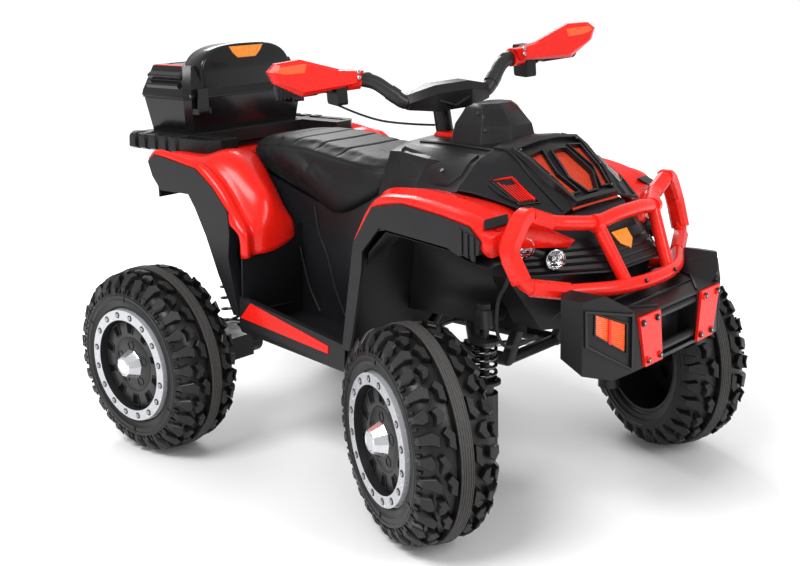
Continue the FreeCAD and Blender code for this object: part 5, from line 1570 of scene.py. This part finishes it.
@dataclass
class Bonnet:
    """Trim of the bonnet and console: scoop frames, vents, flank panels, creases, screws and dash plate."""

    stations: tuple = (
        (290, ((0, 640), (90, 632), (146, 612), (200, 572))),
        (315, ((0, 639), (92, 629), (138, 606), (190, 568))),
        (345, ((0, 622), (88, 613), (126, 594), (178, 560))),
        (390, ((0, 585), (78, 579), (110, 562), (160, 545))),
        (430, ((0, 541), (69, 540), (99, 532), (140, 522))),
    )
    rim: tuple = ((326, -92), (326, 92), (392, 80), (429, 62), (429, -62), (392, -80))
    middle: tuple = ((352, -22), (398, -36), (422, -14), (422, 14), (398, 36), (352, 22))
    beside: tuple = ((345, -78), (345, -38), (388, -52), (418, -32), (418, -60), (390, -70))
    vent: tuple = ((326, -158, 584), (352, -127, 589), (401, -123, 550), (384, -155, 550))
    vent_normal: Vec = (0.52, -0.42, 0.74)
    slats: int = 7
    slat_span: Vec = (13.0, 23.0, 2.5)
    bolt_spots: tuple = ((334, -84), (334, 84), (388, -76), (388, 76), (422, -60), (422, 60))
    dash: tuple = ((104, -34), (150, -34), (150, 34), (104, 34))
    flank: tuple = (
        (96, -96, -124), (99, -96, -128), (112, -98, -140), (160, -104, -160), (215, -110, -178),
        (258, -114, -186), (273, -117, -172), (276, -118, -170),
    )
    flank_shares: tuple = (0.0, 0.06, 0.35, 0.65, 0.94, 1.0)
    flank_sink: float = -1.0
    flank_rise: float = 4.0
    console: tuple = (
        (60, ((0, 620), (58, 617), (104, 606), (140, 532))),
        (95, ((0, 629), (70, 626), (118, 610), (150, 532))),
        (180, ((0, 631), (80, 627), (140, 606), (184, 552))),
        (290, ((0, 634), (88, 626), (146, 606), (198, 568))),
    )
    creases: tuple = (
        ((112, -80), (176, -85), (232, -92), (288, -97)),
        ((292, -100), (327, -97), (364, -101), (396, -99), (428, -95)),
        ((330, -164), (356, -164), (390, -150), (424, -130)),
    )

    def height(self, x: float, y: float) -> float:
        """Height of the bonnet's skin above the floor at a place."""
        stations = self.stations if x >= self.stations[0][0] else self.console
        levels = [np.interp(abs(y), *zip(*points)) for _, points in stations]
        return float(np.interp(x, [s[0] for s in stations], levels))

    def ring(self, outline: Sequence[Pair], width: float, high: float) -> Shape:
        """Raised bar round an outline on the skin.

        Args:
            outline: places on the skin.
            width: width of the bar.
            high: height of the bar.

        Returns:
            The bar.
        """
        path = []
        for here, there in zip(outline, list(outline[1:]) + [outline[0]]):
            for t in (0.0, 0.35, 0.65):
                x, y = (a + (b - a) * t for a, b in zip(here, there))
                path.append((x, y, self.height(x, y) + high * RING_LIFT))
        return Shape.sweep(path, bar(width, high), (0.6, 0, 0.8), loop=True)

    def scoop(self) -> None:
        """Frames round the three openings, with bolts at the corners."""
        shape = self.ring(self.rim, 13, 11) + self.ring(self.middle, 6, 9)
        shape += self.ring(self.beside, 5, 7).both()
        model("scoop_frames", shape, [SATIN], "chassis", bevel=0.8)
        points = [(x, y, self.height(x, y) + 6) for x, y in self.bolt_spots]
        heads = COPIER.heads(points, [(0.6, 0, 0.8)] * len(points), 3.4, 3.0, (BLACK, STEEL))
        model("scoop_bolts", heads, [BLACK, STEEL], "chassis")

    def vents(self) -> None:
        """Red slanted slats in a raised frame on each flank."""
        normal = self.vent_normal
        path = [tuple(np.array(p) + np.array(normal) * 0.5) for p in self.vent]
        frame_bar = Shape.sweep(path, bar(5, 5), normal, loop=True)
        model("vent_frames", frame_bar.both(), [SATIN], "chassis", bevel=0.7)
        slat = Shape.sweep([(337, -151, 580.5), (381, -149, 553.5)], bar(2.4, 4.0), normal)
        step = tuple(span / (self.slats - 1) for span in self.slat_span)
        slats = COPIER.copies(slat, self.slats, step=step, finishes=(RED, NET))
        edge = Shape.sweep([(330, -154, 584.5), (352, -131, 588), (395, -128, 554)], bar(3.0, 4.5), normal)
        model("vent_slats", (slats + edge).both(), [RED], "chassis")

    def flanks(self) -> None:
        """Raised panels on the console's flanks, with edges that drop to its skin."""
        rows = []
        for i, (x, top, low) in enumerate(self.flank):
            end = i in (0, len(self.flank) - 1)
            row = []
            for t in self.flank_shares:
                y = top + (low - top) * t
                lift = self.flank_sink if end or t in (0.0, 1.0) else self.flank_rise
                row.append((x, y, self.height(x, y) + lift))
            rows.append(row)
        panel("console_panels", Shape.loft(rows).both(), BLACK, "chassis", wall=2.0, angle=18)

    def build(self) -> None:
        """Make all the trim."""
        self.scoop()
        self.vents()
        self.flanks()
        shape = Shape.empty()
        for line in self.creases:
            path = [(x, y, self.height(x, y) + 0.6) for x, y in smooth_line(line, 4)]
            shape += Shape.sweep(path, bar(6.0, 4.0), (0, -0.5, 0.85))
        model("console_creases", shape.both(), [BLACK], "chassis")
        points = [(227.6, -160.6, 593.6), (222, -54, 677), (246, -65, 650)]
        aims = [(-0.09, -0.70, 0.71), (0, -0.85, 0.53), (0.71, -0.66, 0.26)]
        # The first screw is steel with a dark socket, painted shade in the hex socket; the other two are dark
        # all over.
        heads = COPIER.heads(points[:1], aims[:1], 3.6, 2.4, (STEEL, DISH)).both()
        heads += COPIER.heads(points[1:], aims[1:], 3.6, 2.4, (STEEL, DISH)).both().tagged(1)
        model("cover_screws", heads, [STEEL, DISH], "chassis")
        dash = Shape.prism(self.dash, (0, 0, 625), X_AXIS, Y_AXIS, 10.0, 4.0)
        model("dash_plate", dash, [RED], "chassis", bevel=1.0)


@dataclass
class Nose:
    """Bull bar with its sleeves, lamps, ribs and plate of the fascia, and trim of the bumper."""

    half: tuple = (
        (494, 36, 529), (488, 87, 521), (449, 158, 529), (440, 221, 553), (436, 258, 500),
        (458, 245, 444), (487, 180, 426), (532, 98, 422), (548, 36, 422),
    )
    bar_radius: float = 12.0
    post: tuple = ((488, 87, 521), (533, 66, 422))
    post_radius: float = 11.0
    stay: tuple = ((520, 120, 422), (420, 120, 400), (354, 120, 362))
    stay_radius: float = 9.0
    collars: tuple = (
        (14.2, 8, ((448.5, 162, 530), (442, 207, 547))),
        (14.2, 8, ((463, 234, 441), (492, 170, 425.5))),
        (14.5, 16, ((489, 84, 521.5), (487, 96, 522))),
    )
    lamps: tuple = ((414, 190, 491), (444, 146, 468))
    lamp_tilt: float = 32.0
    lens: tuple = ((557, 404), (582, 384), (582, 340), (557, 372))
    plate_bolts: tuple = ((121, 381), (79, 381), (67, 316), (103, 316))
    sleeve: tuple = ((441, 210, 548), (439, 224, 549), (436, 258, 500), (455, 247, 452))
    sleeve_section: tuple = (
        (-12.5, -9), (-8, -14.5), (8, -14.5), (12.5, -9), (12.5, 9), (8, 14.5), (-8, 14.5), (-12.5, 9),
    )
    bowl: tuple = ((9.0, 15.6), (7.0, 13.6), (2.0, 9.6), (-1.0, 5.2), (-2.0, 0.3))
    bulb: tuple = ((-2, 0.2), (-1, 3.2), (4, 3.8), (8, 2.4), (9, 0.2))
    rib_levels: tuple = (447, 457, 467, 477)
    fascia_low: tuple = ((405, 208), (518, 72))
    fascia_high: tuple = ((410, 182), (474, 60))
    fascia_span: Pair = (442, 50.0)
    facet: tuple = ((547, 411), (588, 397), (588, 309), (548, 356))
    split: tuple = ((-2.0, -19), (2.0, -21), (2.0, 17), (-2.0, 20))
    split_at: Pair = (569.5, 375.0)

    def hoop(self) -> None:
        """Bull bar of bent tube with welded posts, stays and raised sleeves."""
        right = [(x, -y, z) for x, y, z in self.half]
        loop = rounded(list(self.half) + right[::-1] + [self.half[0]], 22.0)
        shape = Shape.sweep(loop[:-1], Shape.circle(self.bar_radius, 18), (0.3, 0.1, 0.95), loop=True)
        side = Shape.sweep(self.post, Shape.circle(self.post_radius), X_AXIS)
        side += Shape.sweep(rounded(self.stay, 20.0), Shape.circle(self.stay_radius), Y_AXIS)
        side += Shape.sweep(rounded(self.sleeve, 16.0, 3), self.sleeve_section, X_AXIS)
        for radius, sides, path in self.collars:
            side += Shape.sweep(path, Shape.circle(radius, sides), X_AXIS)
        model("bull_bar_tube", shape + side.both(), [RED_BAR], "chassis", ["bull_bar"], angle=32)
        points = [(557.5, -46, 427.5), (557.5, 46, 427.5)]
        heads = COPIER.heads(points, [(0.85, 0, 0.5)] * 2, 3.6, 2.4, (BLACK, STEEL))
        model("bull_bar_bolts", heads, [BLACK, STEEL], "chassis")

    def lamp_pairs(self) -> None:
        """Two round lamps at each side: dark shell, bright bezel, cut reflector and bulb."""
        profile = [(-12, 0.3), (-12, 15.5), (9, 16.6), (12.5, 17.2), (13, 16.2), *self.bowl]
        tags = [1, 1, 1, 0, 0] + [0] * len(self.bowl)
        one = Shape.revolve(profile, 14, tags) + Shape.revolve(self.bulb, 12)
        for side, sign in (("left", 1), ("right", -1)):
            shape = Shape.empty()
            for x, y, z in self.lamps:
                turn = Matrix.Rotation(math.radians(sign * self.lamp_tilt - 90.0), 4, "Z")
                shape += one.placed(Matrix.Translation((x, sign * y, z)) @ turn)
            path = [(x - 8, sign * (y - 4), z) for x, y, z in self.lamps]
            web = Shape.sweep(path, Shape.circle(9, 10)).tagged(1)
            model("lamps_" + side, shape + web, [LAMP, BLACK], "chassis", ["lamp_pair_" + side], angle=18)

    def face(self) -> None:
        """Ribs across the fascia and its five-sided plate."""
        low, high = np.array(self.fascia_low), np.array(self.fascia_high)
        foot, span = self.fascia_span
        shape = Shape.empty()
        for z in self.rib_levels:
            t = (z - foot) / span
            (x0, y0), (x1, y1) = low * (1 - t) + high * t
            path = [(x0 + 1, -y0, z), (x1 + 1, -y1, z), (x1 + 1, y1, z), (x0 + 1, y0, z)]
            shape += Shape.sweep(rounded(path, 24.0), bar(5.0, 3.6), (0.66, 0, 0.75))
        model("fascia_ribs", shape, [SATIN], "chassis")
        shield = [(-23, 13), (23, 13), (20, -9), (0, -24), (-20, -9)]
        plate = Shape.prism(shield, (483, 0, 482), Y_AXIS, (-0.66, 0, 0.75), 4.0, 2.0)
        model("fascia_plate", plate, [PLATE], "chassis", bevel=0.8)

    @staticmethod
    def cheek(x: float) -> float:
        """Distance of the bumper's slanted end from the middle."""
        return 213 - (x - 545) * 80 / 47

    def bumper_trim(self) -> None:
        """Frames round the marker lenses, steps of the deck and the plates' bolts."""
        outline = [(x, -self.cheek(x) - 0.5, z) for x, z in self.lens]
        middle = np.mean(outline, axis=0)
        path = [tuple(middle + (np.array(p) - middle) * 1.12) for p in outline]
        trim = Shape.sweep(path, bar(5.0, 6.0), (0.86, -0.5, 0), loop=True)
        edge = [(x, -self.cheek(x) + 0.5, z) for x, z in self.facet]
        trim += Shape.sweep(edge, bar(9.0, 9.0), (0.86, -0.5, 0), loop=True)
        for x, y, z in ((522, 128, 399.5), (556, 112, 397)):
            trim += Shape.sweep([(x, -y, z), (x, -y * 0.5, z + 0.4), (x, 0.0, z + 0.4)], bar(5.0, 3.6))
        trim += Shape.sweep([(480, -150, 402), (545, -124, 399.5), (588, -64, 395)], bar(6.0, 4.0))
        model("bumper_frames", trim.both(), [SATIN], "chassis", bevel=0.6)
        x, z = self.split_at
        place = (x, -self.cheek(x) - 3.5, z)
        split = Shape.prism(self.split, place, (0.5, 0.86, 0), Z_AXIS, 2.0)
        model("lens_splits", split.both(), [RED], "chassis")
        points = [(597, sign * y, z) for sign in (-1, 1) for y, z in self.plate_bolts]
        heads = COPIER.heads(points, [X_AXIS] * len(points), 5.2, 4.0, (BLACK, STEEL))
        model("plate_bolts", heads, [BLACK, STEEL], "chassis")

    def build(self) -> None:
        """Make everything at the front."""
        self.hoop()
        self.lamp_pairs()
        self.face()
        self.bumper_trim()


@dataclass
class Bars:
    """Trim of the handlebar: guard shields with windows, screws, sleeves, pad groove and grip ribs."""

    shield: tuple = (
        (154, 764), (198, 771), (270, 797), (316, 795), (331, 783), (322, 762), (274, 734), (164, 742),
    )
    bend: tuple = ((118, 58, 698), (117.5, 84, 699.5), (110, 105, 717), (97, 129, 738), (87, 156, 747.5))
    screws: tuple = ((168, 754), (168, 764))
    screw_face: float = 118.0
    window: tuple = ((262, 789), (312, 789), (321, 781), (300, 775), (266, 774))
    collars: tuple = (
        (14.6, ((118, 66, 698), (118, 80, 698.5))),
        (14.2, ((113.5, 96, 709.5), (108, 108, 720))),
    )
    groove: tuple = ((152, 30, 698), (155, 0, 686), (152, -30, 698))
    grip: tuple = ((75.4, 234.0, 745.3), (64.2, 304.0, 744.0))
    ribs: int = 11

    def build(self) -> None:
        """Make the trim of both sides."""
        shield = Shape.prism(self.shield, (100, 0, 0), Y_AXIS, Z_AXIS, 17.0, 9.0)
        window = Shape.prism(self.window, (116, 0, 0), Y_AXIS, Z_AXIS, 2.4, 1.2).tagged(1)
        guards = turned((shield + window).both())
        model("guard_shields", guards, [RED, WINDOW], "handlebar", bevel=1.6, angle=20)
        points = [steered(self.screw_face, sign * y, z) for sign in (-1, 1) for y, z in self.screws]
        ahead = Vector(steered(self.screw_face + 1000.0, 0, 0)) - Vector(steered(self.screw_face, 0, 0))
        # Steel heads with a dark socket: painted shade in the hex socket.
        heads = COPIER.heads(points, [tuple(ahead)] * len(points), 3.6, 2.6, (STEEL, DISH))
        model("clamp_screws", heads, [STEEL, DISH], "handlebar")
        sleeve = Shape.sweep(smooth_line(self.bend, 6), Shape.circle(12.8))
        for radius, path in self.collars:
            sleeve += Shape.sweep(path, Shape.circle(radius))
        groove = Shape.sweep(self.groove, bar(4.0, 4.0), X_AXIS)
        model("bar_sleeves", turned(sleeve.both() + groove), [POWDER], "handlebar")
        start, end = (Vector(p) for p in self.grip)
        ring = Shape.revolve([(-2.0, 15.0), (-1.0, 17.2), (1.0, 17.2), (2.0, 15.0)], 20)
        step = (end - start).length / (self.ribs - 1)
        row = COPIER.copies(ring, self.ribs, step=(0, step, 0), finishes=(GRIP, GRIP))
        turn = Vector(Y_AXIS).rotation_difference(end - start).to_matrix().to_4x4()
        ribs = row.placed(Matrix.Translation(start) @ turn)
        model("grip_ribs", turned(ribs.both()), [GRIP], "handlebar")


@dataclass
class Trunk:
    """Rear box: lid with a domed backrest, end louvres, strips and plate, and the rack's segments."""

    half: float = 124.0
    spring: float = 728.0
    top: float = 783.0
    base: float = 688.0
    arch_steps: int = 24
    lid_top: float = 687.5
    lid_inner: float = 125.5
    end_face: float = -162.5
    end_slope: float = 0.312
    segments: int = 5
    brim: tuple = ((-588, 164, 684), (-438, 164, 684), (-438, -164, 684), (-588, -164, 684))
    strip: tuple = ((-556, -148), (-474, -148), (-478, -134), (-552, -134))
    rows: tuple = ((-508, 24), (-502, 10), (-494, 3), (-450, 0), (-441, 0.8), (-437.5, 3), (-436.5, 6))
    deck: tuple = ((-582, -126), (-480, -126), (-480, 126), (-582, 126))
    louvres: tuple = (704.0, 722.0)
    plate: tuple = ((-47, 776), (47, 776), (39, 764), (25, 752), (-25, 752), (-39, 764))
    segment: tuple = ((-15, -18), (12, -18), (15, 9), (9, 18), (-10, 18), (-15, 9))

    def dome(self) -> Shape:
        """Backrest: an arch with rounded front and rear edges, and the lid's flat top behind it."""
        rows = []
        for x, inset in self.rows:
            row = [(x, self.half - inset * 0.5, self.base)]
            high = self.top - inset - self.spring
            for k in range(self.arch_steps + 1):
                a = math.pi * k / self.arch_steps
                across = math.copysign(abs(math.cos(a)) ** 0.7, math.cos(a))
                rise = math.sin(a) ** 0.9 if 0 < k < self.arch_steps else 0.0
                row.append((x, (self.half - inset) * across, self.spring + high * rise))
            rows.append(row + [(x, -self.half + inset * 0.5, self.base)])
        back = Shape.prism(self.deck, (0, 0, self.base), X_AXIS, Y_AXIS, 53.0)
        return Shape.loft(rows, around=True, caps=True) + back

    def lid(self) -> Shape:
        """Copy of the CAD lid without its dome."""
        shape = node_shape("trunk_lid")
        keep = []
        for i, face in enumerate(shape.faces):
            spots = shape.verts[list(face)]
            if spots[:, 2].min() < self.lid_top or np.abs(spots[:, 1]).max() > self.lid_inner:
                keep.append(i)
        return Shape(shape.verts, [shape.faces[i] for i in keep])

    def build(self) -> None:
        """Make the lid's pieces and the rack's segments."""
        mesh = mesh_of("trunk_lid_shell", self.lid(), [SATIN], 32, closed=False)
        add_piece("trunk_lid_shell", mesh, "trunk_lid", ["trunk_lid"])
        model("trunk_backrest", self.dome(), [SATIN], "trunk_lid", angle=48)
        shape = Shape.empty()
        for z in self.louvres:
            y = self.end_face + (z - self.louvres[0]) * self.end_slope
            wedge = [(y + 3.7, z + 9), (y - 6, z + 3), (y - 7, z), (y - 2.8, z - 7), (y + 4, z - 7)]
            shape += Shape.prism(wedge, (-564, 0, 0), Y_AXIS, Z_AXIS, 104.0)
        corners = self.brim + self.brim[:2]
        brim = Shape.sweep(rounded(corners, 14.0)[5:-1], bar(9.0, 7.0), loop=True)
        model("lid_brim", brim, [SATIN], "trunk_lid", bevel=1.0)
        shape += Shape.prism(self.strip, (0, 0, 741.5), X_AXIS, Y_AXIS, 2.0, 0.8).tagged(1)
        model("lid_louvres", shape.both(), [SATIN, RED], "trunk_lid", bevel=0.8)
        plate = Shape.prism(self.plate, (-438.5, 0, 0), Y_AXIS, Z_AXIS, 3.4, 1.0)
        model("backrest_plate", plate, [PLATE], "trunk_lid", bevel=0.8)
        block = Shape.prism(self.segment, (-568, -182, 592), X_AXIS, Z_AXIS, 30.0, 6.0)
        side = COPIER.copies(block, self.segments, step=(34, 0, 0), finishes=(BLACK, GREY))
        model("rack_segments", side.both(), [BLACK], "chassis", bevel=2.0)


@dataclass
class Sides:
    """Red sill strips, ribs at the flares' ends and creases of the footwells."""

    strip: tuple = ((-165, -262, 319), (-190, -267, 287), (46, -267, 260), (45, -265, 274))
    rib: tuple = ((-3.5, -20), (3.5, -22), (3.5, 19), (-3.5, 21))
    ribs: int = 3
    creases: tuple = (
        ((-170, -262, 322), (-176, -240, 300), (-172, -150, 292)),
        (
            (-142, -104.5, 484), (-132, -104.5, 426), (-113, -104.5, 388), (-96, -104.5, 330),
            (-79, -104.5, 289), (-60, -104.5, 256),
        ),
        ((-180, -112, 397), (-177, -105, 353), (-166, -104.5, 315), (-140, -104.5, 270)),
        ((20, -240, 262), (60, -200, 275), (96, -150, 330), (110, -125, 420)),
    )

    def build(self) -> None:
        """Make the trim of both sides."""
        base = [np.array(p, float) + (0, 1.5, 0) for p in self.strip]
        middle = np.mean(base, axis=0)
        face = [p + (middle - p) / np.linalg.norm(middle - p) * 1.5 - (0, 3.6, 0) for p in base]
        model("sill_strips", Shape.loft([base, face], around=True, caps=True).both(), [RED], "chassis")
        one = Shape.prism(self.rib, (355, -267, 507), X_AXIS, Z_AXIS, 6.0, 1.5)
        ribs = COPIER.copies(one, self.ribs, step=(12, 0, -4), finishes=(GREY, BLACK))
        model("flare_ribs", ribs.both(), [GREY], "chassis", bevel=0.8)
        ridge = Shape.empty()
        for line in self.creases:
            ridge += Shape.sweep(smooth_line(line, 5), bar(5.0, 5.0), (0.3, -0.6, 0.7))
        model("footwell_creases", ridge.both(), [BLACK], "chassis")


@dataclass
class Plain:
    """CAD nodes whose shape is right: each gets its finish, and most get rounded edges."""

    red: tuple = ("guard_left", "guard_right", "bumper_plate_left", "bumper_plate_right")
    black: tuple = (
        "console", "bonnet", "dash_pod", "front_fascia", "bumper", "rear_rack", "bar_pad", "switch_pod",
        "throttle_housing", "thumb_lever",
    )
    grey: tuple = (
        "lower_body", "front_flare_right", "front_flare_left", "rear_flare_right", "rear_flare_left",
    )
    satin: tuple = ("trunk_tub", "latch_right", "latch_left")
    powder: tuple = (
        "frame", "handlebar", "swing_arm", "slider_left", "slider_right", "knuckle_left", "knuckle_right",
        "gear_motor_left", "gear_motor_right",
    )
    steel: tuple = ("tie_rod_left", "tie_rod_right")

    def build(self) -> None:
        """Polish all nodes of each finish."""
        for nodes, finish, bevel in (
            (self.red, RED, 1.6), (self.black, BLACK, 1.2), (self.grey, GREY, 1.4), (self.satin, SATIN, 1.6),
            (self.powder, POWDER, 0.0), (self.steel, STEEL, 0.0),
        ):
            for node in nodes:
                polish(node, finish, bevel)
        polish("bonnet_mesh", NET, 0.0)
        for side in ("left", "right"):
            polish("marker_lens_" + side, AMBER, 0.6)
            polish("grip_" + side, GRIP, 0.8)
        polish("battery", CASE, 2.0)


def main() -> None:
    """Build every assembly in order."""
    logging.basicConfig(level=logging.INFO, format="%(message)s")
    Studio().build()
    wire = ((70, -194, 704.5), (80, -140, 672), (92, -70, 654), (99, -18.2, 646))
    route = tuple(steered(*p) for p in wire)
    Cord("throttle_wire", "bar_wire", "handlebar", route, 2.0, 189.5, "medium").build()
    lead = (
        (435.3, -243.75, 470), (412, -228, 434), (380, -210, 405), (374, -206, 335), (392, -188, 312),
        (424, -160, 338),
    )
    Cord("strut_lead", "front_lead", "chassis", lead, 3.0, 238.2, "limp").build()
    Wheel("front_wheel_left", "front_wheel_left", (393.63, 314.31, 185.0), STEER).build()
    Wheel("front_wheel_right", "front_wheel_right", (290.37, -314.31, 185.0), 180.0 + STEER).build()
    Wheel("rear_wheel_left", "rear_wheel_left", (-384.0, 325.0, 185.0), 0.0).build()
    Wheel("rear_wheel_right", "rear_wheel_right", (-384.0, -325.0, 185.0), 180.0).build()
    Seat().build()
    for side, y in (("left", 1), ("right", -1)):
        Spring("front_spring_" + side, "strut_" + side, (342.0, 195.0 * y), 254.0, 321.0, 5, 0.615).build()
        Spring("rear_spring_" + side, "rear_suspension", (-384.0, 128.0 * y), 205.0, 340.0, 6, 0.83).build()
    for part in (RearFender(), FrontFender(), Bonnet(), Nose(), Bars(), Trunk(), Sides(), Plain()):
        part.build()


if __name__ == "__main__":
    main()
